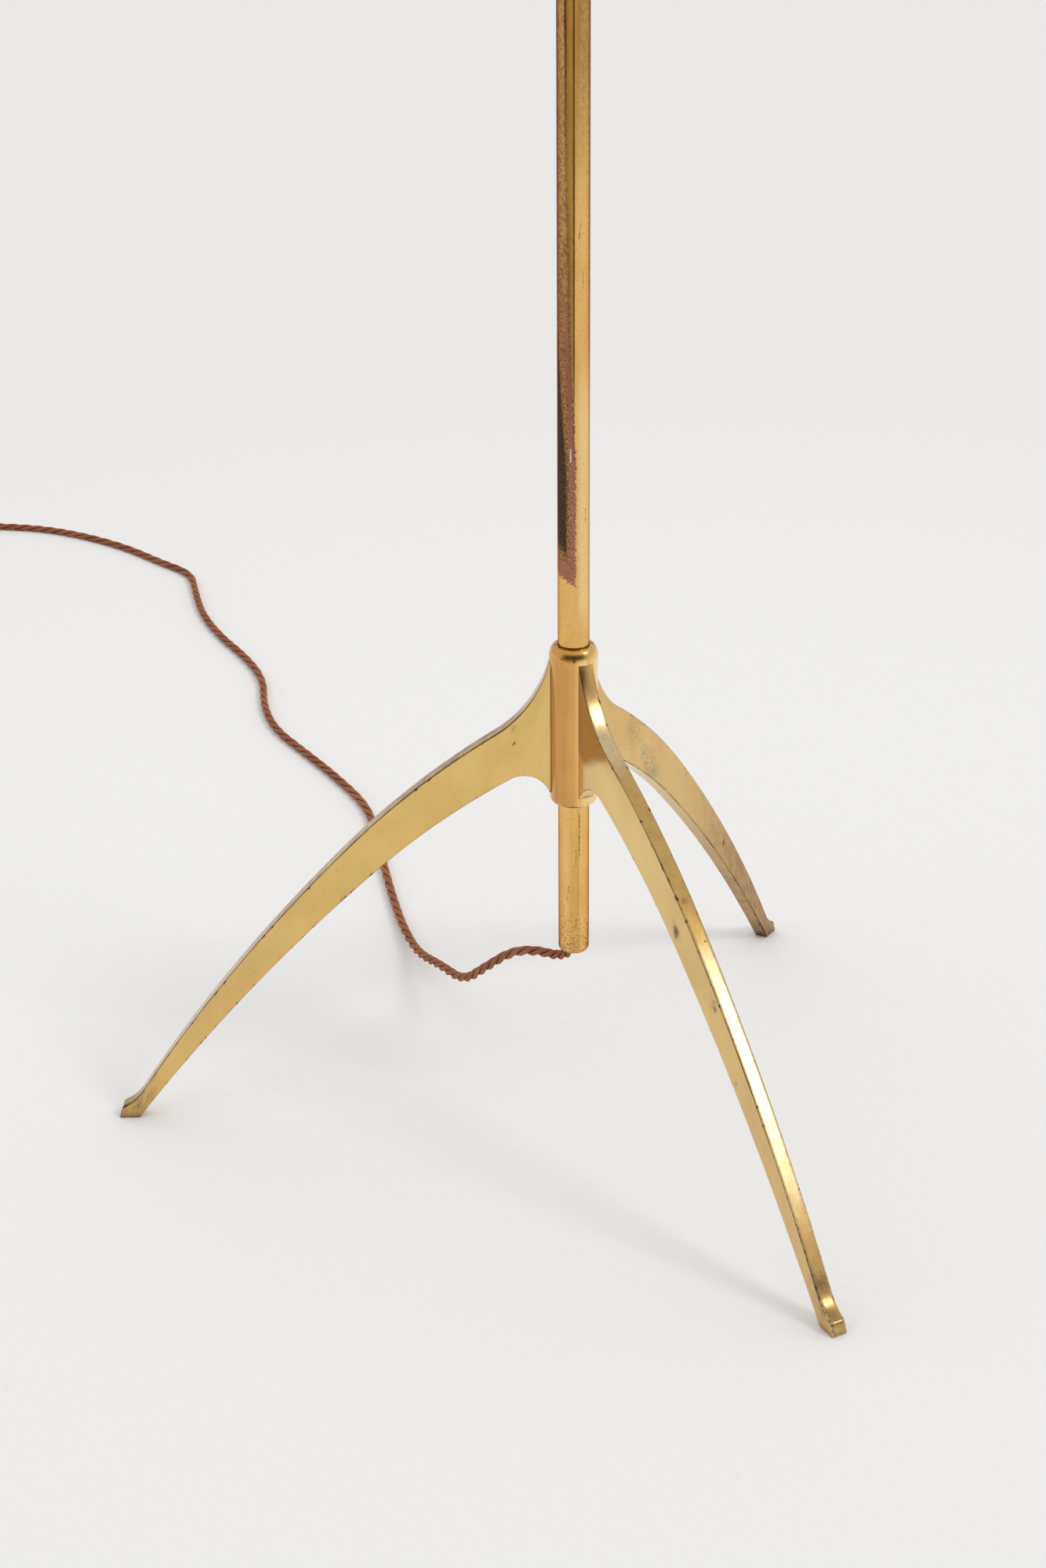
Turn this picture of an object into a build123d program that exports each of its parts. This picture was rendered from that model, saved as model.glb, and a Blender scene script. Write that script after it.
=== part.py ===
from build123d import *
import math
import os

os.makedirs("parts", exist_ok=True)

# Tripod floor lamp. Millimetres, +Z up, origin on the floor under the stem's axis.
# The left leg points along -X, the other two stand 120 degrees either side of it.

# Fits shared by all pieces
fixed_gap = 0.05        # radial gap at pressed, brazed and screwed joints
running_gap = 0.06      # radial gap where one piece slides or turns in another
seat_gap = 0.15         # gap between faces that meet but move past each other

# Stem
stem_od = 16.0
stem_wall = 1.0
stem_length = 1132.0
stem_foot_z = 98.0      # lower end of the stem above the floor
stem_lip_round = 3.2    # outside radius of the spun-in lower end

# Hub
hub_barrel_od = 24.6
hub_dome_od = 25.2
hub_bottom_z = 183.4
hub_length = 86.9
hub_dome_height = 6.8
hub_mouth_rim = 0.9     # how far the mouth recess stands outside the stem
hub_mouth_depth = 1.6
hub_bottom_round = 4.2

# Legs, as an outline in the plane of radius and height
leg_thickness = 8.4
leg_arris = 0.35
leg_top_z = 262.0
leg_bottom_z = 190.0
leg_heel_reach = 233.5
leg_heel_slope = 53.5
leg_ankle_in = 2.5      # ankle, inside the heel
leg_ankle_z = 16.3
leg_ankle_slope = 57.0
leg_shin_reach = 113.3
leg_shin_z = 163.0
leg_neck_reach = 40.2
leg_neck_z = 222.3
leg_calf_in = 10.1      # lower edge, inside the shin and below it
leg_calf_drop = 17.6
leg_arch_in = 7.9       # lower edge, inside the neck and below it
leg_arch_drop = 24.7
toe_top_out = 7.5       # toe points, outside the heel
toe_top_z = 7.6
toe_front_out = 9.2
toe_front_z = 5.6
toe_nose_out = 10.6
toe_nose_z = 0.8
toe_sole_length = 9.8
tenon_thickness = 5.0
tenon_depth = 2.4
tenon_inset = 8.0

# Clamp screw at the back of the hub
clamp_azimuth = 120.0
clamp_z = 236.0
clamp_od = 5.0
clamp_slot_width = 0.9
clamp_slot_depth = 1.2
clamp_proud = 0.6

# Flex
flex_od = 5.3
bush_height = 12.0
bush_recess = 8.0       # from the stem's lower end up to the bush
core_od = 2.2

# Nipple and lock nut on the stem's top
nipple_plug_length = 20.0
nipple_flange = 2.0
nipple_thread_od = 10.0
nipple_thread_length = 14.0
nipple_bore = 7.0
nut_across_flats = 14.0
nut_height = 4.0

# Lampholder
holder_od = 38.0
holder_wall = 1.0
cap_boss_height = 6.5
cap_height = 36.0
insert_ledge_z = 20.0   # above the cap's foot
insert_ledge_width = 2.0
insert_height = 20.0
body_skirt = 5.0
body_height = 30.0
body_lip = 3.4
body_lip_height = 1.6
shell_bore = 27.0
shell_wall = 0.5
shell_length = 21.0
contact_height = 3.0
contact_width = 7.0
terminal_head_od = 5.0
terminal_head_height = 2.2
terminal_shank_od = 3.0
terminal_shank_length = 6.0
terminal_circle_r = 11.5
switch_od = 5.0
switch_travel = 6.0
switch_z = 25.5         # above the cap's foot
switch_button_od = 7.0
switch_button_length = 5.0

# Shade rings on the lampholder
shade_ring_wall = 2.0
shade_ring_height = 3.2
shade_ring_z = 16.0     # lower ring above the body's foot

# Bulb
bulb_cap_od = 26.0
bulb_cap_length = 25.0
bulb_cap_wall = 0.4
bulb_tip_od = 9.0
bulb_tip_height = 3.0
bulb_od = 60.0
bulb_glass_wall = 0.7
bulb_neck_length = 20.0
bulb_shoulder_length = 30.0
bulb_mount_od = 8.0
bulb_mount_length = 38.0
filament_od = 1.0
filament_span = 26.0

# Shade
shade_bottom_od = 500.0
shade_top_od = 400.0
shade_height = 290.0
shade_skin_thickness = 0.8
shade_drop = 82.0       # from the gallery down to the shade's lower edge
shade_wire_od = 3.6
gallery_wall = 2.6
gallery_height = 3.0
trim_height = 12.0
trim_thickness = 0.5
arm_count = 3
arm_azimuth = 30.0

# Free flex: the route from the bush down to the floor and back, then the coil
floor_clearance = 0.1
flex_bed_z = flex_od / 2 + floor_clearance
hanging_points = [
    (0.0, 0.0, 97.4),
    (-7.8, 5.4, 92.4),
    (-19.5, 17.5, 88.4),
    (-33.5, 37.5, 77.0),
    (-47.0, 60.0, 55.5),
    (-61.0, 87.0, 34.0),
    (-75.0, 127.0, 18.5),
    (-88.5, 168.0, 9.0),
    (-99.0, 208.0, 3.9),
]
floor_points = [
    (-107.0, 250.0),
    (-113.6, 296.0),
    (-118.6, 343.0),
    (-132.0, 386.0),
    (-153.0, 432.0),
    (-176.0, 481.0),
    (-198.0, 517.0),
    (-209.5, 561.0),
    (-215.0, 606.0),
    (-229.0, 651.0),
    (-248.0, 696.0),
    (-267.0, 744.0),
    (-280.0, 793.0),
    (-288.0, 833.0),
    (-313.0, 862.0),
    (-345.0, 890.0),
    (-380.0, 920.0),
    (-418.0, 940.0),
    (-458.0, 947.5),
]
arc_share = 0.45        # share of a run that each of its arcs may take

# Coil of the put-away length, with its tie
coil_centre = (-532.0, 907.5)
coil_turns = 6.25
coil_middle_r = 30.0
coil_step = 5.9         # from turn to turn and from layer to layer
coil_entry_angle = 90.0
coil_approach = 34.0
tie_thickness = 0.8
tie_width = 9.0
tie_gap = 0.4
tie_angle = 315.0

# Plug beside the coil
plug_od = 37.0
plug_body_length = 16.0
plug_cover_length = 30.0
plug_cover_wall = 2.2
plug_neck_od = 17.0
plug_boot_length = 32.0
plug_boot_tip_od = 8.6
plug_grip_depth = 10.0  # how far the flex goes into the boot
plug_pin_od = 4.8
plug_pin_length = 19.0
plug_pin_spacing = 19.0
plug_pin_root = 12.0
plug_pin_root_od = 4.0
plug_clip_width = 6.0
plug_clip_thickness = 1.0
plug_screw_od = 3.5
plug_screw_head_od = 6.4
plug_screw_head_height = 2.4
plug_screw_length = 22.0
tail_lead = 24.0        # straight off the coil
tail_dip = (0.6, -50.0, 13.6)
tail_reach = 74.0

# Sizes worked out from the ones above
stem_r = stem_od / 2
stem_bore_r = stem_r - stem_wall
stem_top_z = stem_foot_z + stem_length
barrel_r = hub_barrel_od / 2
dome_r = hub_dome_od / 2
hub_top_z = hub_bottom_z + hub_length
hub_bore_r = stem_r + running_gap
mouth_r = stem_r + hub_mouth_rim
flex_r = flex_od / 2
bush_z = stem_foot_z + bush_recess
cap_z = stem_top_z + nipple_flange
holder_r = holder_od / 2
cap_bore_r = holder_r - holder_wall
body_z = cap_z + cap_height - body_skirt
body_r = holder_r + holder_wall
body_bore_r = holder_r - holder_wall / 2
body_top_z = body_z + body_height + body_skirt
insert_top_z = cap_z + insert_ledge_z + insert_height
lower_ring_z = body_z + shade_ring_z
gallery_z = lower_ring_z + shade_ring_height + seat_gap
upper_ring_z = gallery_z + gallery_height + seat_gap
gallery_bore_r = body_r + 2 * seat_gap
gallery_r = gallery_bore_r + gallery_wall
shade_bottom_z = gallery_z - shade_drop
shade_top_z = shade_bottom_z + shade_height
shade_lean = math.atan2((shade_bottom_od - shade_top_od) / 2, shade_height)
bulb_tip_z = insert_top_z + contact_height + seat_gap
bulb_cap_z = bulb_tip_z + bulb_tip_height
bulb_neck_z = bulb_cap_z + bulb_cap_length

ON_BASE = (Align.CENTER, Align.CENTER, Align.MIN)
pieces = {}


def rod(radius, low, high):
    """Upright cylinder on the axis."""
    return Pos(0, 0, low) * Cylinder(radius, high - low, align=ON_BASE)


def sleeve(outer_r, inner_r, low, high):
    """Upright ring on the axis."""
    return rod(outer_r, low, high) - rod(inner_r, low, high)


def turned(*outline):
    """Solid turned about the axis from a closed outline of (radius, height) points."""
    corners = [(radius, 0, height) for radius, height in outline]
    return revolve(make_face(Polyline(*corners, close=True)), Axis.Z)


def around(count, start=0.0):
    """Turns about the axis for a pattern."""
    return [Rot(0, 0, start + 360 / count * index) for index in range(count)]


# Stem tube: drawn brass tube, its lower end spun in to a round lip with a hole for the flex.
def make_stem_tube():
    inner_round = stem_lip_round - stem_wall
    mouth = stem_r - stem_lip_round
    lip_z = stem_foot_z + stem_lip_round
    slant = math.sqrt(0.5)
    outside = ThreePointArc(
        (mouth, 0, stem_foot_z),
        (mouth + stem_lip_round * slant, 0, lip_z - stem_lip_round * slant),
        (stem_r, 0, lip_z),
    )
    inside = ThreePointArc(
        (stem_bore_r, 0, lip_z),
        (mouth + inner_round * slant, 0, lip_z - inner_round * slant),
        (mouth, 0, stem_foot_z + stem_wall),
    )
    walls = Polyline((stem_r, 0, lip_z), (stem_r, 0, stem_top_z), (stem_bore_r, 0, stem_top_z),
                     (stem_bore_r, 0, lip_z))
    end = Line((mouth, 0, stem_foot_z + stem_wall), (mouth, 0, stem_foot_z))
    return revolve(make_face([outside, walls, inside, end]), Axis.Z)


pieces["stem_tube"] = make_stem_tube()


# Hub: turned barrel under a domed top, bored for the stem and mortised for the legs.
def make_hub_blank():
    line_z = hub_top_z - hub_dome_height
    slant = math.sqrt(0.5)
    round_z = hub_bottom_z + hub_bottom_round
    foot_r = barrel_r - hub_bottom_round
    dome_width = dome_r - mouth_r
    dome = EllipticalCenterArc((mouth_r, line_z), dome_width, hub_dome_height, start_angle=0, arc_size=90)
    upright = Plane.XZ * dome
    bottom = ThreePointArc(
        (max(foot_r, hub_bore_r + fixed_gap), 0, hub_bottom_z),
        (barrel_r - hub_bottom_round * (1 - slant), 0, round_z - hub_bottom_round * slant),
        (barrel_r, 0, round_z),
    )
    side = Polyline((barrel_r, 0, round_z), (barrel_r, 0, line_z), (dome_r, 0, line_z))
    mouth_z = hub_top_z - hub_mouth_depth
    inside = Polyline(
        (mouth_r, 0, hub_top_z),
        (mouth_r, 0, mouth_z),
        (hub_bore_r, 0, mouth_z),
        (hub_bore_r, 0, hub_bottom_z),
        (max(foot_r, hub_bore_r + fixed_gap), 0, hub_bottom_z),
    )
    return revolve(make_face([bottom, side, upright, inside]), Axis.Z)


# Legs: sawn from plate, with a coped end and a tenon that is brazed into the hub's barrel.
def edge_chain(start, slope, *points):
    """Arcs tangent to each other through the points, leaving start at slope towards the hub."""
    direction = Vector(-math.cos(math.radians(slope)), 0, math.sin(math.radians(slope)))
    here = start
    arcs = []
    for there in points:
        arc = TangentArc((here[0], 0, here[1]), (there[0], 0, there[1]), tangent=direction)
        arcs.append(arc)
        direction = arc % 1
        here = there
    return arcs


def make_leg():
    coped_r = barrel_r + fixed_gap
    root_r = barrel_r / 2
    heel = (leg_heel_reach, 0.0)
    ankle = (leg_heel_reach - leg_ankle_in, leg_ankle_z)
    shin = (leg_shin_reach, leg_shin_z)
    neck = (leg_neck_reach, leg_neck_z)
    calf = (leg_shin_reach - leg_calf_in, leg_shin_z - leg_calf_drop)
    arch = (leg_neck_reach - leg_arch_in, leg_neck_z - leg_arch_drop)
    toe_top = (leg_heel_reach + toe_top_out, 0, toe_top_z)
    toe_front = (leg_heel_reach + toe_front_out, 0, toe_front_z)
    toe_nose = (leg_heel_reach + toe_nose_out, 0, toe_nose_z)
    upper = edge_chain(ankle, leg_ankle_slope, shin, neck, (coped_r, leg_top_z))
    lower = edge_chain(heel, leg_heel_slope, calf, arch, (coped_r, leg_bottom_z))
    out = Vector(math.cos(math.radians(leg_ankle_slope)), 0, -math.sin(math.radians(leg_ankle_slope)))
    instep = TangentArc((ankle[0], 0, ankle[1]), toe_top, tangent=out)
    brow = TangentArc(toe_top, toe_front, tangent=instep % 1)
    sole = Polyline(toe_front, toe_nose, (leg_heel_reach + toe_sole_length, 0, 0), (leg_heel_reach, 0, 0))
    root = Polyline(
        (coped_r, 0, leg_top_z), (root_r, 0, leg_top_z), (root_r, 0, leg_bottom_z),
        (coped_r, 0, leg_bottom_z),
    )
    face = make_face([*upper, root, *lower, sole, brow, instep])
    plate = extrude(face, leg_thickness / 2, both=True)
    long_edges = [
        edge for edge in plate.edges()
        if abs(abs(edge.center().Y) - leg_thickness / 2) < fixed_gap and edge.center().X > coped_r
    ]
    plate = chamfer(long_edges, leg_arris)
    plate = plate - rod(coped_r, leg_bottom_z - tenon_inset, leg_top_z + tenon_inset)
    return plate + tenon(0.0)


def tenon(gap):
    """Tongue of a leg, or with a gap the mortise that takes it."""
    low = leg_bottom_z + tenon_inset - gap
    high = leg_top_z - tenon_inset + gap
    inner = barrel_r - tenon_depth - gap
    outer = barrel_r + leg_thickness / 2
    block = Box(outer - inner, tenon_thickness + 2 * gap, high - low)
    return Pos((inner + outer) / 2, 0, (low + high) / 2) * block


leg_azimuths = {"leg_left": 180.0, "leg_front": 300.0, "leg_rear": 60.0}
leg = make_leg()
hub = make_hub_blank()
for name, azimuth in leg_azimuths.items():
    pieces[name] = Rot(0, 0, azimuth) * leg
    hub = hub - Rot(0, 0, azimuth) * tenon(fixed_gap)


# Clamp screw: a slotted screw through the hub's wall that pinches the stem from behind.
clamp_tip = stem_r + seat_gap
clamp_end = barrel_r + clamp_proud
clamp_place = Rot(0, 0, clamp_azimuth) * Pos(0, 0, clamp_z) * Rot(0, 90, 0)
clamp_screw = rod(clamp_od / 2, clamp_tip, clamp_end)
clamp_slot = Box(clamp_od * 2, clamp_slot_width, clamp_slot_depth)
clamp_screw = clamp_screw - Pos(0, 0, clamp_end - clamp_slot_depth / 2) * clamp_slot
pieces["clamp_screw"] = clamp_place * clamp_screw
pieces["hub"] = hub - clamp_place * rod(clamp_od / 2 + running_gap, stem_r / 2, clamp_end + clamp_od)

# Bush in the stem's lower end, and the flex that runs up through the stem to the lampholder.
bush_bore_r = flex_r + 2 * fixed_gap
pieces["cord_bush"] = sleeve(stem_bore_r - fixed_gap, bush_bore_r, bush_z, bush_z + bush_height)
nipple_top_z = cap_z + nipple_thread_length
flex_top_z = nipple_top_z + 2 * running_gap
pieces["inner_flex"] = rod(flex_r, bush_z, flex_top_z)

# Nipple pressed into the stem's top, and the nut that holds the lampholder's cap on it.
nipple = rod(stem_bore_r - fixed_gap, stem_top_z - nipple_plug_length, stem_top_z)
nipple = nipple + rod(stem_r, stem_top_z, cap_z) + rod(nipple_thread_od / 2, cap_z, nipple_top_z)
nipple_bored = rod(nipple_bore / 2, stem_top_z - nipple_plug_length, nipple_top_z)
pieces["stem_nipple"] = nipple - nipple_bored
thread_r = nipple_thread_od / 2 + fixed_gap
nut_z = cap_z + holder_wall + fixed_gap
nut = extrude(RegularPolygon(nut_across_flats / 2, 6, major_radius=False), nut_height)
pieces["lock_nut"] = Pos(0, 0, nut_z) * nut - rod(thread_r, nut_z, nut_z + nut_height)


# Lampholder cap: a spun brass cup, with a ledge inside for the insert and two holes for the switch.
def make_holder_cap():
    boss_bore_r = nut_across_flats / math.sqrt(3) + seat_gap
    boss_r = boss_bore_r + holder_wall
    shoulder_z = cap_z + insert_ledge_z
    cup = turned(
        (thread_r, cap_z),
        (boss_r, cap_z),
        (boss_r, cap_z + cap_boss_height),
        (holder_r, shoulder_z - insert_ledge_width),
        (holder_r, cap_z + cap_height),
        (cap_bore_r, cap_z + cap_height),
        (cap_bore_r, shoulder_z),
        (cap_bore_r - insert_ledge_width, shoulder_z),
        (cap_bore_r - insert_ledge_width, shoulder_z - insert_ledge_width),
        (boss_bore_r, cap_z + cap_boss_height),
        (boss_bore_r, cap_z + holder_wall),
        (thread_r, cap_z + holder_wall),
    )
    return cup - switch_rod(switch_od / 2 + running_gap)


def switch_rod(radius):
    """Rod across the lampholder at the switch's height."""
    return Pos(0, 0, cap_z + switch_z) * Rot(0, 90, 0) * Cylinder(radius, 2 * holder_od)


pieces["holder_cap"] = make_holder_cap()

# Insert: a ceramic block that carries the switch, the terminals and the contacts.
insert = rod(cap_bore_r - fixed_gap, cap_z + insert_ledge_z + fixed_gap, insert_top_z)
insert = insert - switch_rod(switch_od / 2 + 2 * seat_gap)
terminal_z = cap_z + insert_ledge_z + fixed_gap
terminal_screw = rod(terminal_head_od / 2, terminal_z - terminal_head_height, terminal_z)
terminal_screw = terminal_screw + rod(terminal_shank_od / 2, terminal_z, terminal_z + terminal_shank_length)
terminal_hole = rod(terminal_shank_od / 2 + fixed_gap, terminal_z, terminal_z + terminal_shank_length)
terminal_turns = around(3, 90)
terminal_out = Pos(terminal_circle_r, 0, 0)
for turn in terminal_turns:
    insert = insert - turn * terminal_out * terminal_hole
pieces["holder_insert"] = insert
pieces["terminal_screws"] = Compound([turn * terminal_out * terminal_screw for turn in terminal_turns])

# Three cores fan out from the flex's end to the terminals.
core_start_r = core_od * 0.66
core_end_r = terminal_circle_r - terminal_head_od / 2 - core_od
core_start = Vector(core_start_r, 0, flex_top_z + core_od / 2)
core_end = Vector(core_end_r, 0, terminal_z - core_od / 2 - fixed_gap)
core_axis = Plane(core_start, z_dir=core_end - core_start)
core = core_axis * Cylinder(core_od / 2, (core_end - core_start).length, align=ON_BASE)
pieces["flex_cores"] = Compound([turn * core for turn in terminal_turns])

# Switch: a bar pushed through from either side, with a round button on each end.
bar_shift = switch_travel / 2
button_face = holder_r + bar_shift + 2 * seat_gap
switch_bar = Cylinder(switch_od / 2, 2 * button_face)
for side in (-1, 1):
    button = Cylinder(switch_button_od / 2, switch_button_length)
    switch_bar = switch_bar + Pos(0, 0, side * (button_face + switch_button_length / 2)) * button
pieces["switch_bar"] = Pos(bar_shift, 0, cap_z + switch_z) * Rot(0, 90, 0) * switch_bar

# Centre contact, screw shell and liner on the insert.
shell_r = shell_bore / 2
shell_z = insert_top_z + fixed_gap
contact_rise = insert_top_z + contact_height - shell_z
contact_tongue = Box(contact_width, contact_width / 2, contact_rise, align=ON_BASE)
pieces["holder_contact"] = Pos(0, 0, shell_z) * contact_tongue
shell = sleeve(shell_r + shell_wall, shell_r, shell_z, shell_z + shell_length)
shell = shell + sleeve(shell_r + shell_wall, contact_width, shell_z, shell_z + shell_wall)
pieces["holder_screw_shell"] = shell
liner_bore_r = shell_r + shell_wall + fixed_gap
liner_top_z = body_top_z - body_lip_height - fixed_gap
pieces["holder_liner"] = sleeve(body_bore_r - fixed_gap, liner_bore_r, shell_z, liner_top_z)

# Lampholder body: screws over the cap and carries the shade rings on its outside thread.
body = turned(
    (holder_r + fixed_gap, body_z),
    (body_r, body_z),
    (body_r, body_top_z),
    (body_bore_r - body_lip, body_top_z),
    (body_bore_r - body_lip, body_top_z - body_lip_height),
    (body_bore_r, body_top_z - body_lip_height),
    (body_bore_r, body_z + body_skirt + fixed_gap),
    (holder_r + fixed_gap, body_z + body_skirt + fixed_gap),
)
pieces["holder_body"] = body
ring_bore_r = body_r + fixed_gap
ring_r = ring_bore_r + shade_ring_wall
pieces["shade_ring_lower"] = sleeve(ring_r, ring_bore_r, lower_ring_z, lower_ring_z + shade_ring_height)
pieces["shade_ring_upper"] = sleeve(ring_r, ring_bore_r, upper_ring_z, upper_ring_z + shade_ring_height)

# Bulb: screw cap with an insulated tip, glass envelope, and a glass mount with the filament.
bulb_cap_r = bulb_cap_od / 2
bulb_cap = sleeve(bulb_cap_r, bulb_cap_r - bulb_cap_wall, bulb_cap_z, bulb_neck_z)
tip_seat = sleeve(bulb_cap_r, bulb_tip_od / 2 + fixed_gap, bulb_cap_z, bulb_cap_z + bulb_cap_wall)
pieces["bulb_cap"] = bulb_cap + tip_seat
pieces["bulb_contact"] = rod(bulb_tip_od / 2, bulb_tip_z, bulb_cap_z + bulb_tip_height)


def make_bulb_glass():
    neck_r = bulb_cap_r - bulb_cap_wall - fixed_gap
    base_z = bulb_neck_z - bulb_neck_length / 2
    shoulder_z = bulb_neck_z + bulb_neck_length / 2
    ball_z = shoulder_z + bulb_shoulder_length
    ball_r = bulb_od / 2

    def envelope(inset):
        low = Line((0, 0, base_z + inset), (neck_r - inset, 0, base_z + inset))
        neck = Line((neck_r - inset, 0, base_z + inset), (neck_r - inset, 0, shoulder_z))
        flare = Bezier(
            (neck_r - inset, 0, shoulder_z),
            (neck_r - inset, 0, shoulder_z + bulb_shoulder_length / 2),
            (ball_r - inset, 0, ball_z - bulb_shoulder_length / 2),
            (ball_r - inset, 0, ball_z),
        )
        crown = ThreePointArc(
            (ball_r - inset, 0, ball_z),
            ((ball_r - inset) * math.sqrt(0.5), 0, ball_z + (ball_r - inset) * math.sqrt(0.5)),
            (0, 0, ball_z + ball_r - inset),
        )
        middle = Line((0, 0, ball_z + ball_r - inset), (0, 0, base_z + inset))
        return revolve(make_face([low, neck, flare, crown, middle]), Axis.Z)

    return envelope(0.0) - envelope(bulb_glass_wall), base_z, ball_z


bulb_glass, bulb_base_z, bulb_ball_z = make_bulb_glass()
pieces["bulb_glass"] = bulb_glass
mount_z = bulb_base_z + bulb_glass_wall + fixed_gap
mount_top_z = mount_z + bulb_mount_length
pieces["bulb_mount"] = rod(bulb_mount_od / 2, mount_z, mount_top_z)
filament_z = mount_top_z + fixed_gap
filament_half = filament_span / 2
filament_points = [
    (-filament_half, 0, filament_z + filament_half),
    (-bulb_mount_od / 2 + filament_od, 0, filament_z + filament_od / 2),
    (bulb_mount_od / 2 - filament_od, 0, filament_z + filament_od / 2),
    (filament_half, 0, filament_z + filament_half),
]
filament_path = FilletPolyline(*filament_points, radius=filament_od)
filament_start = Plane(filament_path @ 0, z_dir=filament_path % 0)
pieces["bulb_filament"] = sweep(filament_start * Circle(filament_od / 2), filament_path)


# Shade: a card cone with a wire ring in each edge, carried by a gallery on three wire arms.
def cone_band(bottom_r, low, high, thickness):
    """Band of the shade's cone, its outside at bottom_r on the shade's lower edge."""
    lean = math.tan(shade_lean)
    across = thickness / math.cos(shade_lean)
    low_r = bottom_r - (low - shade_bottom_z) * lean
    high_r = bottom_r - (high - shade_bottom_z) * lean
    return turned((low_r - across, low), (low_r, low), (high_r, high), (high_r - across, high))


skin_r = shade_bottom_od / 2
pieces["shade_skin"] = cone_band(skin_r, shade_bottom_z, shade_top_z, shade_skin_thickness)
trim_r = skin_r + (fixed_gap + trim_thickness) / math.cos(shade_lean)
pieces["shade_trim_bottom"] = cone_band(
    trim_r, shade_bottom_z, shade_bottom_z + trim_height, trim_thickness
)
pieces["shade_trim_top"] = cone_band(trim_r, shade_top_z - trim_height, shade_top_z, trim_thickness)
wire_r = shade_wire_od / 2


def wire_ring_radius(height):
    """Radius of a ring that lies against the inside of the skin at this height."""
    inside = skin_r - (height - shade_bottom_z) * math.tan(shade_lean)
    return inside - (shade_skin_thickness + wire_r + 2 * fixed_gap) / math.cos(shade_lean)


bottom_ring_z = shade_bottom_z + wire_r
top_ring_z = shade_top_z - wire_r
bottom_ring_r = wire_ring_radius(bottom_ring_z)
pieces["shade_bottom_ring"] = Pos(0, 0, bottom_ring_z) * Torus(bottom_ring_r, wire_r)
pieces["shade_top_ring"] = Pos(0, 0, top_ring_z) * Torus(wire_ring_radius(top_ring_z), wire_r)
pieces["shade_gallery"] = sleeve(gallery_r, gallery_bore_r, gallery_z, gallery_z + gallery_height)
arm_start = Vector(gallery_r - gallery_wall, 0, gallery_z + gallery_height / 2)
arm_end = Vector(bottom_ring_r, 0, bottom_ring_z)
arm = Plane(arm_start, z_dir=arm_end - arm_start) * Cylinder(
    wire_r, (arm_end - arm_start).length, align=ON_BASE
)
ring_seat = Pos(0, 0, bottom_ring_z) * Torus(bottom_ring_r, wire_r + fixed_gap)
past_ring_r = bottom_ring_r + 2 * shade_wire_od
outside_ring = sleeve(
    past_ring_r, bottom_ring_r, bottom_ring_z - shade_wire_od, bottom_ring_z + shade_wire_od
)
gallery_seat = rod(gallery_r + fixed_gap, gallery_z - shade_drop, gallery_z + shade_drop)
arm = arm - ring_seat - outside_ring - gallery_seat
pieces["shade_arms"] = Compound([turn * arm for turn in around(arm_count, arm_azimuth)])


# Free flex: one tube along straight runs joined by arcs as large as the runs allow.
def flex_tube(points, label):
    points = [Vector(*point) for point in points]
    radii = []
    for before, here, after in zip(points, points[1:], points[2:]):
        run_in = here - before
        run_out = after - here
        half_turn = math.radians(run_in.get_angle(run_out)) / 2
        radii.append(arc_share * min(run_in.length, run_out.length) / math.tan(half_turn))
    path = FilletPolyline(*points, radius=radii)
    start = Plane(path @ 0, z_dir=path % 0)
    tube = sweep(start * Circle(flex_r), path)
    expected = math.pi * flex_r**2 * path.length
    print(label, "length", round(path.length, 1), "volume ratio", round(tube.volume / expected, 4))
    print(label, "radii", [round(radius, 1) for radius in radii])
    return tube


# Coil: the flex spirals in on the lower layer, climbs at the middle and spirals out on the upper one.
coil_bed_z = flex_r + tie_thickness + tie_gap + floor_clearance
coil_inner_r = coil_middle_r - coil_step * coil_turns / 4
climb_turns = 0.5


def coil_point(turn):
    from_middle = turn - coil_turns / 2
    radius = coil_inner_r + coil_step * abs(from_middle)
    angle = math.radians(coil_entry_angle + 360 * turn)
    climb = min(max(from_middle / climb_turns + 0.5, 0.0), 1.0)
    height = coil_bed_z + coil_step * climb * climb * (3 - 2 * climb)
    centre_x, centre_y = coil_centre
    return Vector(centre_x + radius * math.cos(angle), centre_y + radius * math.sin(angle), height)


def coil_direction(turn):
    step = 0.01
    return (coil_point(turn + step) - coil_point(turn - step)).normalized()


def biarc(start, start_direction, end, end_direction):
    """Two arcs that meet smoothly and keep both end directions."""
    span = end - start
    both = start_direction + end_direction
    fall = 2 * (1 - start_direction.dot(end_direction))
    reach = (math.sqrt(span.dot(both) ** 2 + fall * span.dot(span)) - span.dot(both)) / fall
    meet = (start + start_direction * reach + end - end_direction * reach) * 0.5
    first = TangentArc(start, meet, tangent=start_direction)
    second = TangentArc(meet, end, tangent=first % 1)
    return [first, second]


quarters = round(coil_turns * 4)
coil_stops = [coil_turns * index / quarters for index in range(quarters + 1)]
coil_start = coil_point(0)
coil_end = coil_point(coil_turns)
entry_direction = coil_direction(0)
exit_direction = coil_direction(coil_turns)
coil_mouth = coil_start - entry_direction * flex_od
coil_tip = coil_end + exit_direction * flex_od
coil_edges = [Line(coil_mouth, coil_start)]
for here, there in zip(coil_stops, coil_stops[1:]):
    coil_edges += biarc(coil_point(here), coil_direction(here), coil_point(there), coil_direction(there))
coil_edges.append(Line(coil_end, coil_tip))
coil_path = Wire(coil_edges)
pieces["flex_coil"] = sweep(Plane(coil_mouth, z_dir=entry_direction) * Circle(flex_r), coil_path)
coil_ratio = pieces["flex_coil"].volume / (math.pi * flex_r**2 * coil_path.length)
print("flex_coil length", round(coil_path.length, 1), "volume ratio", round(coil_ratio, 4))
sample_count = 900
samples = [coil_path.position_at(index / sample_count) for index in range(sample_count + 1)]
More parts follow.
